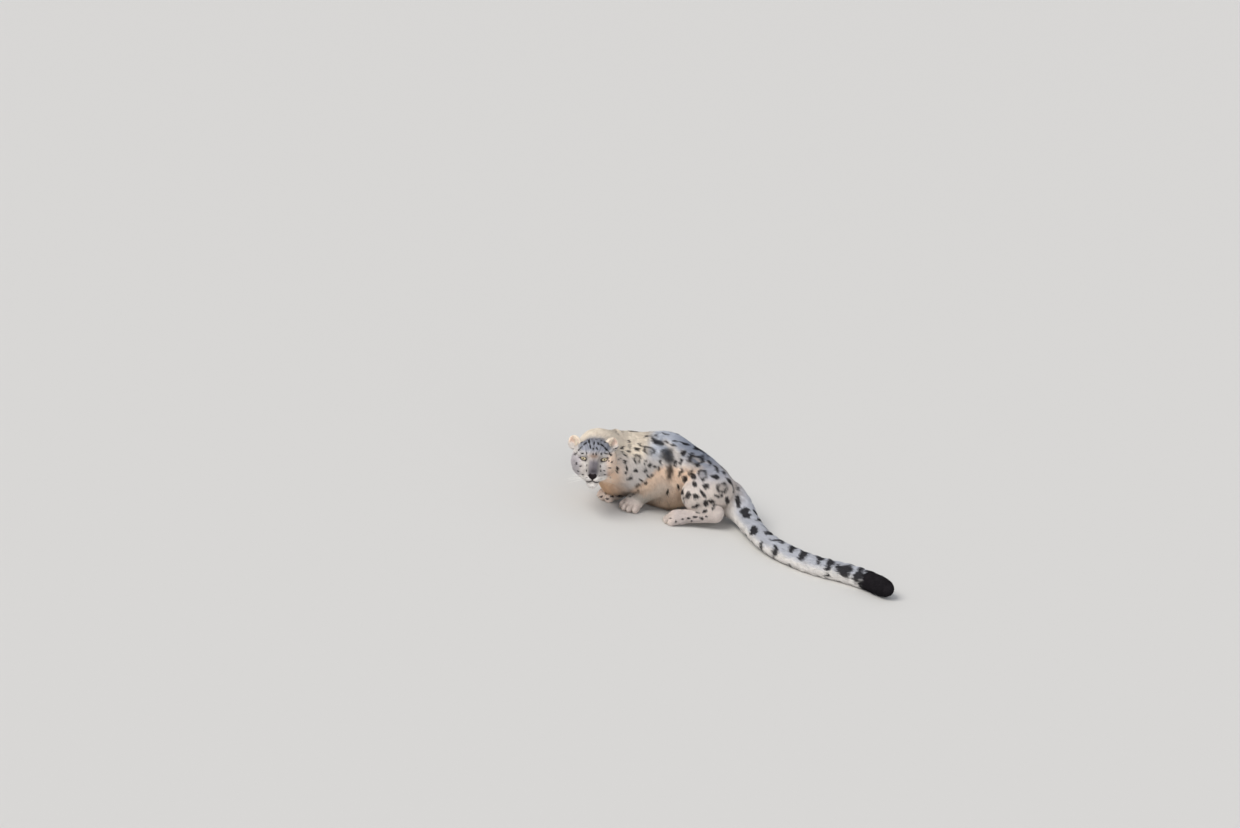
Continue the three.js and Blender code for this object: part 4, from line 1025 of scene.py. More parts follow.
def mark_darkness(p, normals, tail):
    """How dark the markings and the painted shade are at points on the skin, from 0 to 1. Spots and rings
    fade on the underside; painted shade doesn't.
    """
    dark = np.zeros(len(p))
    fading = 1 - 0.85 * smooth_step(-normals[:, 2], 0.3, 0.75) * (1 - tail)
    pixels = to_photo(p)
    for number, (mark, place) in enumerate(seen_marks):
        half = max(mark.wide, mark.high)
        reach = PIXEL * half * 1.8 + MARK_MARGIN
        near = np.flatnonzero((np.abs(p - place) < reach).all(1) & (normals @ VIEW_AHEAD < 0.1))
        if not len(near):
            continue
        x, y = in_turned_axes(*(pixels[near] - [mark.x, mark.y]).T, math.radians(mark.turn))
        soft = 0.16 if half > 2.5 else 0.26
        own = ring_or_spot(x / mark.wide, y / mark.high, mark.kind, number, soft)
        dark[near] = np.maximum(dark[near], own if mark.kind in SHADE_DEPTH else own * fading[near])
    for number, (centre, normal, lie, long, wide, kind) in enumerate(hidden_marks):
        near = np.flatnonzero((np.abs(p - centre) < long * 1.5).all(1) & (normals @ normal > 0.1))
        if not len(near):
            continue
        d = p[near] - centre
        side = np.cross(normal, lie)
        own = ring_or_spot(d @ lie / long, d @ side / wide, kind, HIDDEN_SEED + number, 0.15)
        dark[near] = np.maximum(dark[near], fading[near] * own)
    return dark


# Colours, as the photograph's coat would be in plain light, save those that also carry painted light and
# shade, as noted at each
def srgb(*levels):
    c = np.array(levels, float) / 255
    return np.where(c <= 0.04045, c / 12.92, ((c + 0.055) / 1.055) ** 2.4)


# The back's own grey, made bluer and darker by painted shade, paler toward the shoulders and deeper behind
BACK_PALE_SHADED = srgb(207, 212, 222)
BACK_GREY_SHADED = srgb(164, 171, 187)
FLANK = srgb(216, 210, 206)
# The thigh, paler than the flank as painted sunlight
THIGH_SUNLIT_PALE = srgb(229, 218, 210)
# The pale belly, made warm by painted reflected light
BELLY_REFLECTED_WARM = srgb(250, 219, 192)
# The cream neck and chest, made warm by painted reflected light
NECK_REFLECTED_WARM = srgb(246, 207, 172)
# Pale cream hair, and the same cream as painted sunlight on nape, withers, crown and ears
PALE_CREAM_AND_SUNLIGHT = srgb(247, 233, 214)
# The forearm's upper side, darker and olive as painted shade
ARM_SHADED_OLIVE = srgb(160, 158, 150)
PAW_PALE = srgb(240, 224, 214)
FOOT_GREY = srgb(204, 194, 192)
# The forehead's own grey, made bluer as painted shade
FACE_GREY = srgb(154, 157, 168)
FACE_PALE = srgb(220, 213, 208)
FACE_LILAC = srgb(190, 184, 190)
FACE_BROWN = srgb(134, 104, 86)
# A cheek lit by painted sunlight
CHEEK_SUNLIT_CREAM = srgb(252, 228, 208)
MUZZLE_WHITE = srgb(246, 241, 237)
BRIDGE_GREY = srgb(150, 144, 150)
NOSE_GREY = srgb(76, 71, 76)
# The tail's top, greyer as it is and bluer as painted shade
TAIL_TOP = srgb(186, 189, 198)
TAIL_WHITE = srgb(242, 238, 234)
MARK_DARK = srgb(27, 24, 28)
LEATHER_DARK = srgb(34, 27, 29)
LID_DARK = srgb(30, 23, 22)
EAR_INNER = srgb(236, 208, 190)
# The grey of the shoulder ends behind at an edge: its place along and its height there, and how far it leans
SHOULDER_EDGE = (-55.0, 213.0)
SHOULDER_SLOPE = -0.82


def toward(colour, other, share):
    return colour + (other - colour) * np.clip(share, 0, 1)[:, None]


def darkness(p, normals, own):
    """How dark the coat is at points on the skin, painted shade included, from 0 on the pale ground to 1 on
    the tail's end.
    """
    tail = own[:, PART_KINDS.index("tail")]
    t, _ = tail_place(p)
    black_tip = tail * smooth_step(t + 0.012 * hash_noise(p, 30, 5), 0.862, 0.882)
    return np.maximum(mark_darkness(p, normals, tail) * 0.95, black_tip)


def ground_colour(p, normals, own):
    """The coat's pale colours at points on the skin, own holding the parts' shares there. They hold painted
    shade on back and forearms, and painted sunlight and reflected light on nape, thigh, belly and neck.
    """
    kinds = np.array(PART_KINDS)
    head = own[:, kinds == "head"][:, 0]
    tail = own[:, kinds == "tail"][:, 0]
    paw = own[:, kinds == "paw"].sum(1)
    lower = own[:, kinds == "lower"].sum(1)
    neck = own[:, kinds == "neck"][:, 0]
    x, height, up = p[:, 0], p[:, 2], normals[:, 2]
    c = np.tile(FLANK, (len(p), 1))
    # Painted sunlight over the hind quarters
    c = toward(c, THIGH_SUNLIT_PALE, smooth_step(x, 20, 80))
    # Painted shade on the top of the back, where the skin faces up
    shaded_back = smooth_step(up, 0.4, 0.85) * smooth_step(height, 140, 260)
    back = toward(np.tile(BACK_PALE_SHADED, (len(p), 1)), BACK_GREY_SHADED, smooth_step(x, -90, 60))
    c = toward(c, back, shaded_back * smooth_step(x + 16 * hash_noise(p, 45, 6), -150, -85))
    past_edge = x - SHOULDER_EDGE[0] - (SHOULDER_EDGE[1] - height) * SHOULDER_SLOPE
    behind_shoulder = smooth_step(past_edge, -10, 14)
    flank = (own[:, 0] + own[:, 2] + own[:, 3]) * smooth_step(-x, -150, -90)
    # Painted warm reflected light on the low flank behind the shoulder and on the belly
    c = toward(c, BELLY_REFLECTED_WARM, behind_shoulder * smooth_step(-height, -234, -198) * flank)
    c = toward(c, BELLY_REFLECTED_WARM, smooth_step(-height, -130, -50) * own[:, 0])
    # Painted warm reflected light on the neck and the front of the chest
    c = toward(c, NECK_REFLECTED_WARM, np.maximum(neck, smooth_step(-x, 150, 260)) * smooth_step(-height, -260, -120))
    # Painted sunlight on the top of the nape and withers, where the skin faces up
    sunlit_nape = smooth_step(up, 0.0, 0.6) * smooth_step(-x, 80, 140) * smooth_step(height, 200, 270)
    c = toward(c, PALE_CREAM_AND_SUNLIGHT, sunlit_nape)
    # Painted shade on the lower front legs above the paws, under the chest
    c = toward(c, ARM_SHADED_OLIVE, lower * smooth_step(-x, -60, 20) * smooth_step(height, 16, 60))
    c = toward(c, PAW_PALE, paw * 0.9)
    c = toward(c, FOOT_GREY, paw * smooth_step(x, 20, 60) * 0.8)
    # The tail white below, greyer on top as its own colour and bluer as painted shade
    tail_colour = toward(np.tile(TAIL_WHITE, (len(p), 1)), TAIL_TOP, smooth_step(up, -0.2, 0.6))
    c = head_colour(toward(c, tail_colour, tail), p, head)
    mottled = 1 + 0.05 * hash_noise(p, 60, 3) + 0.04 * hash_noise(p, 14, 4)
    return np.clip(c * mottled[:, None], 0, 1)


def head_colour(c, p, head):
    """The face's colours over c, where head is the head's share. Each line lies over the ones before it."""
    q = HEAD.local(p)
    x, y, z = np.abs(q[:, 0]), q[:, 1], q[:, 2]
    m = mirrored_abs(q)
    front = smooth_step(z, -10, 30)
    face = np.tile(FACE_PALE, (len(p), 1))
    brow = smooth_step(y, 4, 40) * smooth_step(z, -90, -50) * smooth_step(-x, -72, -54)
    # Painted bluish shade over the forehead's own grey
    face = toward(face, FACE_GREY, brow)
    face = toward(face, FACE_LILAC, smooth_step(x, 40, 62) * smooth_step(-y, -20, 0) * 0.8)
    # Painted sunlight on one cheek only
    face = toward(face, CHEEK_SUNLIT_CREAM, smooth_step(q[:, 0], 38, 66) * smooth_step(-np.abs(y + 14), -46, -26))
    # Painted warm reflected light under the jaw, on one side only
    face = toward(face, NECK_REFLECTED_WARM, smooth_step(q[:, 0], 44, 66) * smooth_step(-y, 34, 60) * 0.7)
    face = toward(face, MUZZLE_WHITE, hump(x - 27, 7) * hump(y + 20, 12) * 0.6)
    face = toward(face, MUZZLE_WHITE, hump(x - 40, 18) * hump(y - 15, 7) * 0.7)
    bridge_share = smooth_step(-x, -25, -9) * smooth_step(-y, -8, 14) * smooth_step(y, -64, -50) * front
    face = toward(face, BRIDGE_GREY, bridge_share)
    face = toward(face, FACE_BROWN, hump(x, 21) * hump(y - 11, 11) * 0.85)
    face = toward(face, NOSE_GREY, hump(x, 5) * hump(y + 20, 24) * 0.45 * front)
    face = toward(face, NOSE_GREY, hump(x, 15) * hump(y + 43, 12) * smooth_step(z, 20, 40))
    face = toward(face, MUZZLE_WHITE, hump(x - 16, 14) * hump(y + 72, 11) * smooth_step(z, 30, 50))
    face = toward(face, MUZZLE_WHITE, smooth_step(-y, 90, 97) * smooth_step(z, -30, 0))
    around = np.arctan2(q[:, 0], y + 40)
    streaks = np.sin(around * 34 + 1.5 * np.sin(y / 9)) * np.sin(around * 13 + y / 30)
    face = face * (1 + 0.26 * streaks * smooth_step(y, 8, 30) * smooth_step(z, -70, -30))[:, None]
    # The back of the head in the pale cream, with painted sunlight
    nape = smooth_step(-z, 60, 100) * smooth_step(y, -20, 20)
    face = toward(face, PALE_CREAM_AND_SUNLIGHT, nape)
    face = ear_colour(face, q)
    around_eye = near_eye(m) * hump(np.maximum(almond(m) - 0.6, 0), 2.4)
    face = toward(face, LID_DARK, around_eye * 0.95)
    corner = hump(np.hypot(m[:, 0] - 31, (m[:, 1] + 9.5) / 1.2), 5.4) * smooth_step(z, -20, 0)
    face = toward(face, LID_DARK, corner)
    face = toward(face, LEATHER_DARK, nose_leather(m))
    face = toward(face, LEATHER_DARK, lip_edge(m))
    return toward(c, face, head)


def ear_colour(face, q):
    """The ears over the face's colours: pale, with a pink cup, painted shade deep in the cup, and a dark bar
    and edge behind.
    """
    e = at_ear(q)
    off = (e - EAR_MIDDLE) @ EAR_AXES.T
    ear = smooth_step(-ear_shell(e), -8, -2) * smooth_step(e[:, 1], 40, 50)
    inner = smooth_step(-ear_cup(e), -5, 0)
    own = np.tile(PALE_CREAM_AND_SUNLIGHT, (len(q), 1))
    own = toward(own, EAR_INNER, inner)
    # Painted shade deep in the ear's cup
    shaded_cup_floor = inner * smooth_step(-off[:, 1], 6, 16) * smooth_step(-off[:, 0], -4, 8)
    own = toward(own, MARK_DARK * 2.4, shaded_cup_floor)
    bars = np.maximum(hump(off[:, 1] - 20, 9), hump(off[:, 1] + 16, 9))
    own = toward(own, MARK_DARK * 1.5, smooth_step(-off[:, 2], 3, 8) * bars)
    return toward(face, own, ear)


# Meshes from rows of numbers
def make_mesh(name, points, triangles, colours=None, uvs=None, normals=None):
    mesh = bpy.data.meshes.new(name)
    mesh.vertices.add(len(points))
    mesh.vertices.foreach_set("co", to_frame(points).astype(np.float32).ravel())
    mesh.loops.add(len(triangles) * 3)
    mesh.loops.foreach_set("vertex_index", triangles.astype(np.int32).ravel())
    mesh.polygons.add(len(triangles))
    mesh.polygons.foreach_set("loop_start", np.arange(0, len(triangles) * 3, 3, dtype=np.int32))
    mesh.polygons.foreach_set("use_smooth", np.ones(len(triangles), bool))
    mesh.update(calc_edges=True)
    if colours is not None:
        layer = mesh.color_attributes.new("Coat", "FLOAT_COLOR", "POINT")
        layer.data.foreach_set("color", np.c_[colours, np.ones(len(points))].astype(np.float32).ravel())
    if uvs is not None:
        layer = mesh.uv_layers.new(name="OFBake")
        layer.data.foreach_set("uv", uvs[triangles.ravel()].astype(np.float32).ravel())
    if normals is not None:
        mesh.normals_split_custom_set_from_vertices(normals.tolist())
    obj = bpy.data.objects.new(name, mesh)
    bpy.context.scene.collection.objects.link(obj)
    return obj


# Tufts: thin tapered blades of three sides that rise from the skin and bend over along the lie of the coat.
BARE_FROM = 0.2


def sampled_roots(rng):
    """Even random places on the skin, closer together where the coat is finer."""
    a, b, c = (skin_points[skin_triangles[:, i]] for i in range(3))
    area = np.linalg.norm(np.cross(b - a, c - a), axis=1) / 2
    spacing = tufts["spacing"][skin_triangles].mean(1)
    bare = bare_share[skin_triangles].mean(1)
    crown = np.clip(skin_points[skin_triangles][:, :, 2].mean(1) / 6, 0, 1)
    wanted = area / spacing**2 * (bare < BARE_FROM) * crown
    total = np.cumsum(wanted)
    count = int(total[-1] * (1.0))
    picks = np.searchsorted(total, (np.arange(count) + rng.random(count)) / count * total[-1])
    picks = np.minimum(picks, len(wanted) - 1)
    u, v = rng.random(count), rng.random(count)
    over = u + v > 1
    u[over], v[over] = 1 - u[over], 1 - v[over]
    weights = np.stack([1 - u - v, u, v], 1)
    return picks, weights


def at_roots(values, picks, weights):
    return (values[skin_triangles[picks]] * (weights[..., None] if values.ndim > 1 else weights)).sum(1)


# The coat's pieces, and which of them each of PARTS belongs to
PIECES = ["head", "neck", "trunk", "fore_left", "fore_right", "hind_left", "hind_right", "tail"]
PIECE_OF_PART = np.array([2, 1] + [3, 4, 5, 6] * 3 + [7, 0])
# A piece's unwrap: its middle, its axis and the length that it spans along the axis
PIECE_AXES = {
    "head": (HEAD.origin + [0, 60, 0], -HEAD.axes[2], 300),
    "neck": (np.array([-270, 100, 230]), unit([0.7, 0.7, -0.1]), 420),
    "trunk": (np.array([-20, 170, 160]), np.array([1.0, 0, 0]), 900),
    "fore_left": (np.array([-120, 96, 130]), UP, 420),
    "fore_right": (np.array([-160, 210, 130]), UP, 420),
    "hind_left": (np.array([150, 60, 110]), UP, 420),
    "hind_right": (np.array([160, 270, 100]), UP, 420),
}


def unwrap(piece, p):
    """A place on the unwrap of a piece's own shape: along its axis, and round it."""
    if piece == "tail":
        t, direction = tail_place(p)
        centre = tail_fine[(t * (len(tail_fine) - 1)).astype(int)]
        side = unit(np.cross(UP, direction))
        off = p - centre
        round_ = np.arctan2((off * np.cross(direction, side)).sum(1), (off * side).sum(1))
        return np.c_[t, round_ / (2 * math.pi) + 0.5]
    origin, axis, reach = PIECE_AXES[piece]
    side = unit(np.cross(axis, [0.3, 1, 0.2]))
    off = p - origin
    round_ = np.arctan2(off @ np.cross(axis, side), off @ side)
    return np.c_[off @ axis / reach + 0.5, round_ / (2 * math.pi) + 0.5]


# A tuft's rings: each one's place along it, and its breadth as a share of the tuft's width
SHORT_RINGS = ((0.42, 1.0),)
LONG_RINGS = ((0.28, 0.92), (0.68, 0.8))
SHORT_FACES, LONG_FACES = 6, 12
LONG_FROM = 40.0
TUFT_LIMIT = 195000
UV_PATCH = 0.003
# Tufts overlap, so what shows of each starts about here along it, and its mark is read there
SEEN_FROM = 0.68
SINK = 1.5
FOLLOW_ROUNDS = 2
CLUMP_SIZE = 34.0
SOFT_SHADING = 0.65


def blades(rng, root, normal, lie, size, colour, dark_at, uv, rings):
    """Closed blades of three sides, one for each root, pointed at both ends, with the root end in the skin.
    size holds the rows of length, height of the tips, width, how closely they follow the skin and how far
    they hang, and dark_at gives the marks' darkness at points. Returns points, triangles, colours, uvs and,
    for each point, the skin's normal at its root."""
    n = len(root)
    own_long, own_proud, own_wide, follow, hang = size
    side = unit(np.cross(normal, lie))
    yaw = (0.17 * hash_noise(root, CLUMP_SIZE, 21) + rng.normal(0, 0.10, n))[:, None]
    along = unit(lie * np.cos(yaw) + side * np.sin(yaw))
    side = unit(np.cross(normal, along))
    curl = rng.normal(0, 0.08, n)
    lift = own_proud * (rng.uniform(0.62, 1.04, n) + 0.12 * hash_noise(root, CLUMP_SIZE * 0.8, 22))

    def spine(s):
        rise = -SINK + (lift + SINK) * (1 - (1 - s) ** 1.7)
        straight = root + along * (own_long * s)[:, None] + side * (own_long * curl * s * s)[:, None]
        shift = np.zeros(n)
        for _ in range(FOLLOW_ROUNDS if s > 0 else 0):
            off = carved_field(straight - normal * shift[:, None])
            shift = np.clip(shift + off, -0.3 * own_long, 0.8 * own_long)
        return straight + normal * (rise - follow * shift)[:, None] - UP * (hang * s * s)[:, None]

    tone = rng.uniform(0.91, 1.07, n)
    seen_at = root + along * (own_long * SEEN_FROM)[:, None]
    marked = toward(colour * tone[:, None], MARK_DARK, dark_at(seen_at))

    def shaded(s):
        return marked * (0.82 + 0.22 * s)

    points, colours, uvs = [spine(0.0)], [shaded(0.0)], [uv - [0, UV_PATCH / 2]]
    for s, breadth in rings:
        middle, half = spine(s), own_wide * breadth / 2
        points += [middle + side * half[:, None], middle + normal * (half * 0.7)[:, None]]
        points.append(middle - side * half[:, None])
        colours += [shaded(s)] * 3
        uvs += [uv + [(j - 1) * UV_PATCH / 2, (s - 0.5) * UV_PATCH] for j in range(3)]
    points.append(spine(1.0))
    colours.append(shaded(1.0))
    uvs.append(uv + [0, UV_PATCH / 2])
    per = len(points)
    points = np.stack(points, 1).reshape(-1, 3)
    floor_gap = 0.3 + 0.4 * np.tile(np.arange(per) % 3, n)
    points[:, 2] = np.maximum(points[:, 2], floor_gap)
    colours = np.clip(np.stack(colours, 1).reshape(-1, 3), 0, 1)
    uvs = np.clip(np.stack(uvs, 1).reshape(-1, 2), 0.001, 0.999)
    tri = [[0, 1 + (j + 1) % 3, 1 + j] for j in range(3)]
    for ring in range(len(rings) - 1):
        for j in range(3):
            a, b = 1 + ring * 3 + j, 1 + ring * 3 + (j + 1) % 3
            tri += [[a, b, b + 3], [a, b + 3, a + 3]]
    last = 1 + (len(rings) - 1) * 3
    tri += [[last + j, last + (j + 1) % 3, per - 1] for j in range(3)]
    triangles = (np.array(tri)[None] + (np.arange(n) * per)[:, None, None]).reshape(-1, 3)
    return points, triangles, colours, uvs, np.repeat(normal, per, 0)


def soft_normals(points, triangles, up):
    """Shading normals between the blades' own and the skin's, up, and never on the far side of a blade."""
    own = vertex_normals(points, triangles)
    against = np.minimum((own * up).sum(1, keepdims=True), 0)
    return unit(own * (1 - SOFT_SHADING) + (up - against * own) * SOFT_SHADING)


def make_coat(material):
    """The coat as pieces of at most TUFT_LIMIT triangles, by part of the body and by short and long tufts."""
    rng = np.random.default_rng(SEED + 1)
    picks, weights = sampled_roots(rng)

    def take(values):
        return at_roots(values, picks, weights)

    root, normal, lie = take(skin_points), unit(take(skin_normals)), take(skin_lies)
    lie = unit(lie - (lie * normal).sum(1, keepdims=True) * normal)
    own = take(shares)
    sizes = np.stack([take(tufts[key]) for key in ("long", "proud", "wide", "follow", "hang")])
    sizes[0] *= rng.uniform(0.75, 1.15, len(root))
    own_long = sizes[0]
    on_body = 1 - own[:, PART_KINDS.index("head")]
    colour = ground_colour(root + lie * (own_long * SEEN_FROM * on_body)[:, None], normal, own)
    piece = PIECE_OF_PART[own.argmax(1)]
    made = []
    for number, name in enumerate(PIECES):
        for length, rings, faces in (("short", SHORT_RINGS, SHORT_FACES), ("long", LONG_RINGS, LONG_FACES)):
            mine = np.flatnonzero((piece == number) & ((own_long > LONG_FROM) == (length == "long")))
            order = mine[np.argsort(root[mine, 0], kind="stable")]
            groups = math.ceil(len(mine) * faces / TUFT_LIMIT)
            for g, rows in enumerate(np.array_split(order, groups) if groups else []):
                dark_at = partial(darkness, normals=normal[rows], own=own[rows])
                points, triangles, colours, uvs, up = blades(
                    rng, root[rows], normal[rows], lie[rows], sizes[:, rows],
                    colour[rows], dark_at, unwrap(name, root[rows]), rings)
                shading = soft_normals(points, triangles, up)
                obj = make_mesh(f"coat_{name}_{length}_{g + 1}", points, triangles, colours, uvs, shading)
                obj.data.materials.append(material)
                made.append(obj)
    return made


# Materials
def node_material(name, roughness, **sockets):
    material = bpy.data.materials.new(name)
    material.use_nodes = True
    shader = material.node_tree.nodes["Principled BSDF"]
    shader.inputs["Roughness"].default_value = roughness
    for key, value in sockets.items():
        shader.inputs[key.replace("_", " ")].default_value = value
    return material, material.node_tree, shader


def add_node(tree, kind, **inputs):
    node = tree.nodes.new(kind)
    for key, value in inputs.items():
        node.inputs[key].default_value = value
    return node


def layer_colour(tree):
    colour = tree.nodes.new("ShaderNodeVertexColor")
    colour.layer_name = "Coat"
    return colour.outputs["Color"]


# The darkest and palest hair against the coat's colour, and the height of a hair's bump in metres
HAIR_TONES = (0.84, 1.12)
HAIR_BUMP = 0.0012


def coat_material(name, bump_scale, bump_strength):
    """Fur: the colour of the coat's own layer, varied hair by hair, with a fine bump."""
    material, tree, shader = node_material(name, 0.82, Specular_IOR_Level=0.18)
    noise = add_node(tree, "ShaderNodeTexNoise", Scale=bump_scale, Detail=3.0)
    coordinates = tree.nodes.new("ShaderNodeTexCoord")
    tree.links.new(coordinates.outputs["Object"], noise.inputs["Vector"])
    ramp = add_node(tree, "ShaderNodeMapRange")
    ramp.inputs["To Min"].default_value, ramp.inputs["To Max"].default_value = HAIR_TONES
    tree.links.new(noise.outputs["Fac"], ramp.inputs["Value"])
    mixed = tree.nodes.new("ShaderNodeVectorMath")
    mixed.operation = "SCALE"
    tree.links.new(layer_colour(tree), mixed.inputs[0])
    tree.links.new(ramp.outputs["Result"], mixed.inputs["Scale"])
    tree.links.new(mixed.outputs["Vector"], shader.inputs["Base Color"])
    bump = add_node(tree, "ShaderNodeBump", Strength=bump_strength, Distance=HAIR_BUMP)
    tree.links.new(noise.outputs["Fac"], bump.inputs["Height"])
    tree.links.new(bump.outputs["Normal"], shader.inputs["Normal"])
    return material


def noisy_material(name, roughness, scale, low_colour, high_colour, **sockets):
    """A plain surface whose colour wanders between two near tones."""
    material, tree, shader = node_material(name, roughness, **sockets)
    noise = add_node(tree, "ShaderNodeTexNoise", Scale=scale, Detail=2.0)
    ramp = tree.nodes.new("ShaderNodeValToRGB")
    ramp.color_ramp.elements[0].color = (*low_colour, 1)
    ramp.color_ramp.elements[1].color = (*high_colour, 1)
    tree.links.new(noise.outputs["Fac"], ramp.inputs["Fac"])
    tree.links.new(ramp.outputs["Color"], shader.inputs["Base Color"])
    return material


# How much darker the skin is under the fur, as it lies in the tufts' shade
SHADED_SKIN = 0.16
fur = coat_material("fur", 700.0, 0.25)
skin_fur = coat_material("skin_fur", 520.0, 0.6)

skin_colours = toward(
    ground_colour(skin_points, skin_normals, shares), MARK_DARK, darkness(skin_points, skin_normals, shares))
skin_colours = skin_colours * (1 - SHADED_SKIN * (1 - bare_share))[:, None]
skin = make_mesh("skin", skin_points, skin_triangles, skin_colours)
skin.data.materials.append(skin_fur)
FLESH = [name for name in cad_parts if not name.startswith("eye_")]
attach(skin, "root")
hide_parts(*FLESH)
for piece in make_coat(fur):
    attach(piece, "root")

# Eyes: a ball with a raised cornea, a pale iris with fine spokes, a dark rim and a round pupil
IRIS_RADIUS, PUPIL_RADIUS = 13.4, 3.0
IRIS_PALE, IRIS_EDGE, IRIS_GOLD = srgb(226, 214, 186), srgb(168, 148, 110), srgb(176, 150, 84)
EYE_DARK = srgb(9, 7, 7)
EYE_RINGS, EYE_SECTORS = 64, 96
CORNEA_RISE, CORNEA_REACH = 0.55, 0.62
GAZE_OUTWARD = math.radians(5)


def eyeball():
    """The ball round its middle, looking along z, with closer rings in front: points and triangles."""
    polar = np.linspace(0, math.pi, EYE_RINGS + 1)[:, None]
    polar = polar * (0.35 + 0.65 * polar / math.pi)
    angle = np.linspace(0, 2 * math.pi, EYE_SECTORS, endpoint=False)[None]
    x, y, z = np.sin(polar) * np.cos(angle), np.sin(polar) * np.sin(angle), np.cos(polar) + 0 * angle
    bulge = CORNEA_RISE * np.exp(-(polar / CORNEA_REACH) ** 4)
    points = (np.stack([x, y, z], 2) * (EYE_RADIUS + bulge)[..., None]).reshape(-1, 3)
    i, j = np.meshgrid(np.arange(EYE_RINGS), np.arange(EYE_SECTORS), indexing="ij")
    a, b = i * EYE_SECTORS + j, i * EYE_SECTORS + (j + 1) % EYE_SECTORS
    triangles = halved(np.stack([a, a + EYE_SECTORS, b + EYE_SECTORS, b], 2).reshape(-1, 4))
    p = points[triangles]
    area = np.linalg.norm(np.cross(p[:, 1] - p[:, 0], p[:, 2] - p[:, 0]), axis=1)
    triangles = triangles[area > 1e-7]
    last = EYE_RINGS * EYE_SECTORS
    triangles = np.where(triangles < EYE_SECTORS, 0, triangles)
    triangles = np.where(triangles >= last, last, triangles)
    used, triangles = np.unique(triangles, return_inverse=True)
    return points[used], triangles.reshape(-1, 3)


def eye_colour(local):
    r = np.hypot(local[:, 0], local[:, 1])
    a = np.arctan2(local[:, 1], local[:, 0])
    spokes = 0.5 + 0.5 * np.sin(a * 31 + 2 * np.sin(a * 7)) * np.sin(a * 17 + 1)
    outward = np.clip((r - PUPIL_RADIUS) / (IRIS_RADIUS - PUPIL_RADIUS), 0, 1)
    c = toward(IRIS_PALE, IRIS_EDGE, outward**2) * (0.86 + 0.22 * spokes)[:, None]
    c = toward(c, IRIS_GOLD, hump(r - PUPIL_RADIUS - 1.2, 1.2) * 0.5)
    c = toward(c, EYE_DARK, smooth_step(r, IRIS_RADIUS - 1.3, IRIS_RADIUS))
    c = toward(c, EYE_DARK, smooth_step(-r, -PUPIL_RADIUS - 0.3, -PUPIL_RADIUS + 0.3))
    return toward(c, EYE_DARK, (local[:, 2] <= 0).astype(float))


def make_eye(name, side):
    local, triangles = eyeball()
    c, s = math.cos(GAZE_OUTWARD * side), math.sin(GAZE_OUTWARD * side)
    turn = np.array([[c, 0, s], [0, 1, 0], [-s, 0, c]])
    points = HEAD.placed(local @ turn.T + EYE * [side, 1, 1])
    eye = make_mesh(name, points, triangles, eye_colour(local))
    eye.data.materials.append(eye_material)
    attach(eye, "root")
    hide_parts("eye_left" if side > 0 else "eye_right")


def make_eye_material():
    material, tree, shader = node_material(
        "eye", 0.2, Specular_IOR_Level=0.2, Coat_Weight=0.3, Coat_Roughness=0.03)
    tree.links.new(layer_colour(tree), shader.inputs["Base Color"])
    return material


eye_material = make_eye_material()
make_eye("eyeball_left", 1)
make_eye("eyeball_right", -1)


# Lids: a smooth dark rim round each eye's opening, drawn out to the tear duct at the inner corner
LID_RIM, LID_STEPS, LID_SIDES = 1.3, 72, 8
TEAR_DUCT = 2.6


def joined(tubes):
    points, triangles, at = [], [], 0
    for p, t in tubes:
        points.append(p)
        triangles.append(t + at)
        at += len(p)
    return np.vstack(points), np.vstack(triangles)


def ring_tube(line, thick, centre, sides):
    """A closed tube along a closed line, its section turned to the centre."""
    ahead = unit(np.roll(line, -1, 0) - np.roll(line, 1, 0))
    out = unit(line - centre)
    across = unit(np.cross(ahead, out))
    angle = np.linspace(0, 2 * math.pi, sides, endpoint=False)
    off = out[:, None] * np.sin(angle)[None, :, None] + across[:, None] * np.cos(angle)[None, :, None]
    points = (line[:, None] + off * thick[:, None, None]).reshape(-1, 3)
    i, j = np.meshgrid(np.arange(len(line)), np.arange(sides), indexing="ij")
    a, b = i * sides + j, i * sides + (j + 1) % sides
    c, d = (i + 1) % len(line) * sides + j, (i + 1) % len(line) * sides + (j + 1) % sides
    triangles = halved(np.stack([a, b, d, c], 2).reshape(-1, 4))
    middle = line.repeat(sides, 0)
    if ((points - middle) * vertex_normals(points, triangles)).sum() < 0:
        triangles = triangles[:, ::-1]
    return points, triangles


def make_lids():
    rims = []
    for side in (-1, 1):
        turn = np.linspace(0, 2 * math.pi, LID_STEPS, endpoint=False)
        corner = math.acos((ALMOND_RADIUS - ALMOND_HIGH) / ALMOND_RADIUS)
        sweep = np.where(turn < math.pi, turn / math.pi, turn / math.pi - 1) * 2 * corner - corner
        upper = np.where(turn < math.pi, 1.0, -1.0)
        x = -np.sin(sweep) * ALMOND_RADIUS * upper
        y = (np.cos(sweep) * ALMOND_RADIUS - (ALMOND_RADIUS - ALMOND_HIGH)) * upper
        x = x - TEAR_DUCT * smooth_step(-x, ALMOND_WIDE - 3, ALMOND_WIDE)
        x, y = in_turned_axes(x, y, -EYE_SLANT)
        z = np.sqrt(np.maximum((EYE_RADIUS + LID_RIM) ** 2 - x * x - y * y, 1))
        line = np.stack([side * (EYE[0] + x), EYE[1] + y, EYE[2] + z], 1)
        thick = LID_RIM * (1 + 0.5 * smooth_step(-x, ALMOND_WIDE - 6, ALMOND_WIDE))
        rims.append(ring_tube(HEAD.placed(line), thick, HEAD.placed(EYE * [side, 1, 1]), LID_SIDES))
    points, triangles = joined(rims)
    rim = make_mesh("lids", points, triangles)
    rim.data.materials.append(noisy_material("lid", 0.35, 240.0, LID_DARK * 0.7, LID_DARK * 1.5))
    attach(rim, "root")


# Long pale hair that sweeps out over the cup of each ear from its inner edge
FRINGE_COUNT = 150
FRINGE_LONG, FRINGE_PROUD, FRINGE_WIDE = (14, 24), 4.0, 1.3


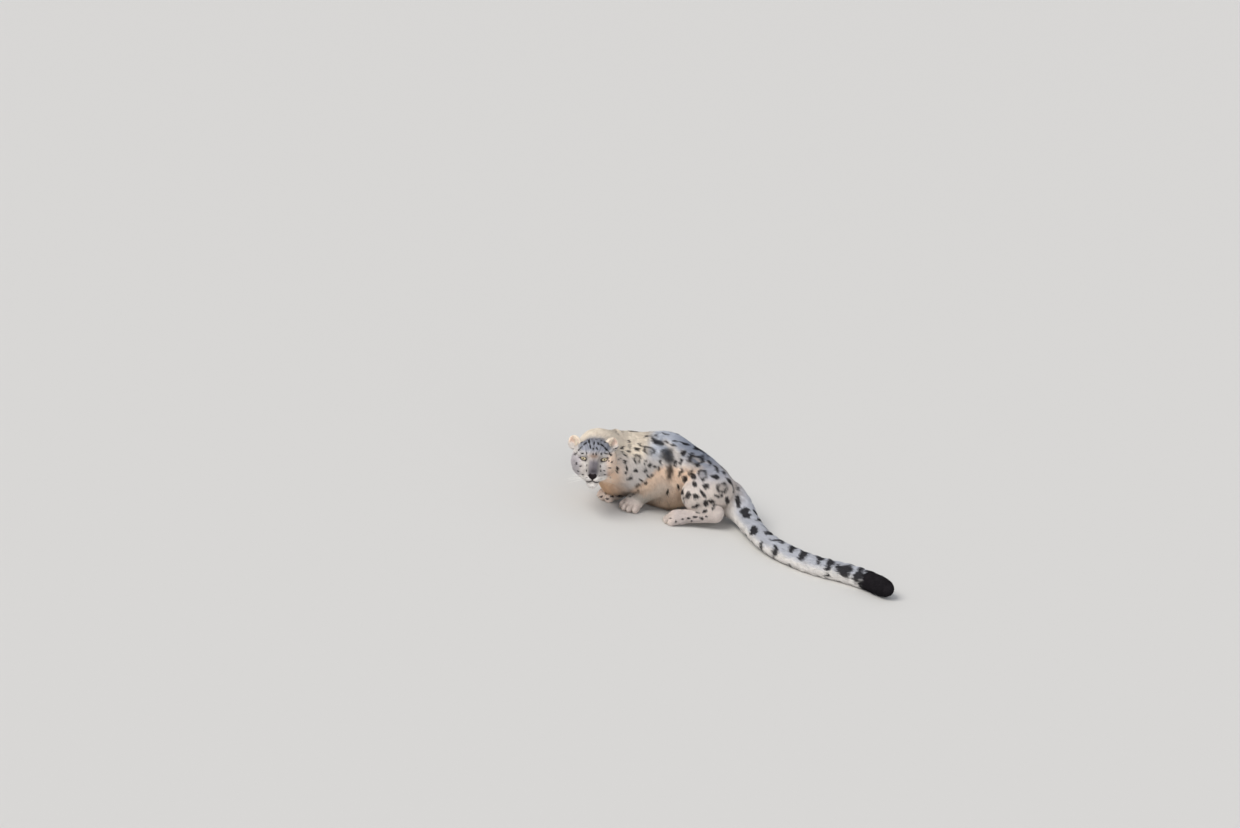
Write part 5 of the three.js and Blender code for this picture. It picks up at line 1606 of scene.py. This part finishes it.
def make_ear_fringe(material):
    rng = np.random.default_rng(SEED + 3)
    roots, normals, lies = [], [], []
    for side in (-1, 1):
        up, out = rng.uniform(-0.75, 0.55, FRINGE_COUNT), rng.uniform(0.15, 0.45, FRINGE_COUNT)
        inward = -0.86 * np.sqrt(1 - np.minimum(0.95, up**2)) + rng.uniform(0, 0.18, FRINGE_COUNT)
        off = np.stack([inward * EAR_HALF[0], up * EAR_HALF[1], out * EAR_HALF[2]], 1)
        e = EAR_MIDDLE + off @ EAR_AXES
        way = np.array([0.75, 0.55, 0.25]) @ EAR_AXES + rng.normal(0, 0.12, (FRINGE_COUNT, 3))
        mirror = np.array([side, 1, 1])
        roots.append(HEAD.placed(e * mirror - [EAR_SWING, 0, 0]))
        lies.append(HEAD.turned(unit(way) * mirror))
        normals.append(np.tile(HEAD.turned(EAR_AXES[2] * mirror), (FRINGE_COUNT, 1)))
    root, lie, normal = np.vstack(roots), np.vstack(lies), np.vstack(normals)
    lie = unit(lie - (lie * normal).sum(1, keepdims=True) * normal)
    n = len(root)
    none = np.zeros(n)
    sizes = np.stack([
        rng.uniform(*FRINGE_LONG, n), np.full(n, FRINGE_PROUD), np.full(n, FRINGE_WIDE), none, none])
    colour = np.tile(PALE_CREAM_AND_SUNLIGHT, (n, 1))
    points, triangles, colours, uvs, _ = blades(
        rng, root, normal, lie, sizes, colour, lambda p: none, unwrap("head", root), LONG_RINGS)
    fringe = make_mesh("ear_fringe", points, triangles, colours, uvs)
    fringe.data.materials.append(material)
    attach(fringe, "root")


# Whiskers: long white bristles from the lip pads and a few over the eyes, each a closed tapering tube
FACE_RAY_START, FACE_RAY_STEPS, FACE_RAY_STRIDE = 120.0, 50, 0.7


def face_depth(x, y):
    """How far out of the face its skin lies at x, y."""
    z = np.full(1, FACE_RAY_START)
    for _ in range(FACE_RAY_STEPS):
        z = z - FACE_RAY_STRIDE * skin_field(HEAD.placed(np.array([[x, y, z[0]]])))
    return z[0]


def tube(line, radius, sides=4):
    """A closed tube along a line, thinner toward its end."""
    points, triangles = [], []
    steps = len(line)
    for i, p in enumerate(line):
        ahead = unit(line[min(i + 1, steps - 1)] - line[max(i - 1, 0)])
        a = unit(np.cross(ahead, [0.3, 0.2, 0.93]))
        b = np.cross(ahead, a)
        r = radius * (1 - i / steps) ** 0.7
        points += [p + (a * math.cos(t) + b * math.sin(t)) * r
                   for t in np.linspace(0, 2 * math.pi, sides, endpoint=False)]
    for i in range(steps - 1):
        for j in range(sides):
            a, b = i * sides + j, i * sides + (j + 1) % sides
            triangles += [[a, b, b + sides], [a, b + sides, a + sides]]
    first = [[0, j + 1, j] for j in range(1, sides - 1)]
    base = (steps - 1) * sides
    last = [[base, base + j, base + j + 1] for j in range(1, sides - 1)]
    return np.array(points), np.array(triangles + first + last)


# Each row's height on the face, its first and last whisker's distance from the middle, and their number
WHISKER_ROWS = [(-66, 18, 30, 4), (-72, 17, 34, 5), (-78, 18, 34, 4)]
WHISKER_THICK, WHISKER_DROOP = 0.42, np.array([0, -0.20, -0.26])
BROW_WHISKERS, BROW_WHISKER_LONG, BROW_WHISKER_THICK = 3, 34, 0.3


def bristle(x, y, out, droop, long, steps):
    """A hair's line from just inside the skin at x, y, straight out and then bent as droop says."""
    s = np.linspace(0, 1, steps)[:, None]
    return HEAD.placed(np.array([x, y, face_depth(x, y) - 2]) + out * long * s + droop * long * s**2)


def make_whiskers():
    rng = np.random.default_rng(SEED + 2)
    tubes = []
    for side in (-1, 1):
        for y, x_from, x_to, count in WHISKER_ROWS:
            for x in np.linspace(x_from, x_to, count):
                out = unit([side, 0.02 * (y + 74) + rng.uniform(-0.1, 0.06), 0.10 - 0.03 * (x - 18)])
                long = rng.uniform(62, 92)
                tubes.append(tube(bristle(side * x, y, out, WHISKER_DROOP, long, 9), WHISKER_THICK))
        for k in range(BROW_WHISKERS):
            out, droop = unit([side * 0.5, 0.8, 0.5]), np.array([side * 0.3, 0.1, -0.4])
            line = bristle(side * (36 + 6 * k), 17 + k, out, droop, BROW_WHISKER_LONG, 7)
            tubes.append(tube(line, BROW_WHISKER_THICK))
    points, triangles = joined(tubes)
    whiskers = make_mesh("whiskers", points, triangles)
    whiskers.data.materials.append(
        noisy_material("whisker", 0.4, 90.0, srgb(220, 216, 207), srgb(249, 248, 246)))
    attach(whiskers, "root")


# Claws: the tips that show between the toes' fur
CLAW_LENGTH, CLAW_RADIUS = 11.0, 2.4


def make_claws():
    tubes = []
    for leg, width in zip(LEGS, [FORE_PAW_WIDTH] * 2 + [HIND_PAW_WIDTH] * 2):
        for ahead, side in TOES:
            tip = np.array([(ahead + 0.235) * width, side * width * 1.04, 0.17 * width])
            s = np.linspace(0, 1, 6)[:, None]
            line = tip + np.array([CLAW_LENGTH, 0, 0]) * (s - 0.55) - UP * CLAW_LENGTH * 0.45 * s**2
            tubes.append(tube(leg.place.placed(line), CLAW_RADIUS, 8))
    points, triangles = joined(tubes)
    claws = make_mesh("claws", points, triangles)
    claws.data.materials.append(
        noisy_material("claw", 0.3, 160.0, srgb(120, 106, 88), srgb(214, 202, 180), Coat_Weight=0.3))
    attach(claws, "root")


make_lids()
make_ear_fringe(fur)
make_whiskers()
make_claws()


# Camera, floor and lights. A light has the way that it comes from, its softness in degrees, its strength and
# its colour.
FLOOR_REACH = 120.0
CLIP_NEAR, CLIP_FAR = 1.0, 500.0
KEY_LIGHT = ((-0.55, -0.45, 0.8), 34, 2.3, (1.0, 0.965, 0.91))
FILL_LIGHT = ((0.3, -1.0, 0.1), 60, 1.5, (1.0, 0.98, 0.96))
SKY_COLOUR, SKY_STRENGTH = (0.90, 0.93, 1.0, 1), 0.55


def make_camera():
    data = bpy.data.cameras.new("camera")
    data.lens, data.sensor_width = LENS, SENSOR
    distance = PHOTO_SIZE[0] / PIXELS_PER_METRE * LENS / SENSOR
    camera = bpy.data.objects.new("camera", data)
    bpy.context.scene.collection.objects.link(camera)
    target = to_frame(from_photo(PHOTO_SIZE / 2))
    place = target - VIEW_AHEAD * distance
    turn = Matrix([PHOTO_RIGHT, PHOTO_UP, -VIEW_AHEAD]).transposed().to_4x4()
    camera.matrix_world = Matrix.Translation(Vector(place)) @ turn
    data.clip_start, data.clip_end = CLIP_NEAR, CLIP_FAR
    bpy.context.scene.camera = camera


def make_floor():
    mesh = bpy.data.meshes.new("floor")
    corners = [(x * FLOOR_REACH, y * FLOOR_REACH, 0) for x, y in ((-1, -1), (1, -1), (1, 1), (-1, 1))]
    mesh.from_pydata(corners, [], [(0, 1, 2, 3)])
    floor = bpy.data.objects.new("floor", mesh)
    bpy.context.scene.collection.objects.link(floor)
    floor.data.materials.append(noisy_material("floor", 0.9, 3.0, srgb(203, 202, 200), srgb(208, 207, 204)))


def make_light(name, from_place, softness, strength, colour):
    data = bpy.data.lights.new(name, "SUN")
    data.angle, data.energy, data.color = math.radians(softness), strength, colour
    lamp = bpy.data.objects.new(name, data)
    bpy.context.scene.collection.objects.link(lamp)
    lamp.rotation_euler = (-Vector(from_place)).to_track_quat("-Z", "Y").to_euler()


def make_world():
    world = bpy.data.worlds.new("studio")
    world.use_nodes = True
    sky = world.node_tree.nodes["Background"]
    sky.inputs["Color"].default_value = SKY_COLOUR
    sky.inputs["Strength"].default_value = SKY_STRENGTH
    bpy.context.scene.world = world


make_camera()
make_floor()
make_light("key", *KEY_LIGHT)
make_light("fill", *FILL_LIGHT)
make_world()
bpy.context.scene.view_settings.view_transform = "Standard"
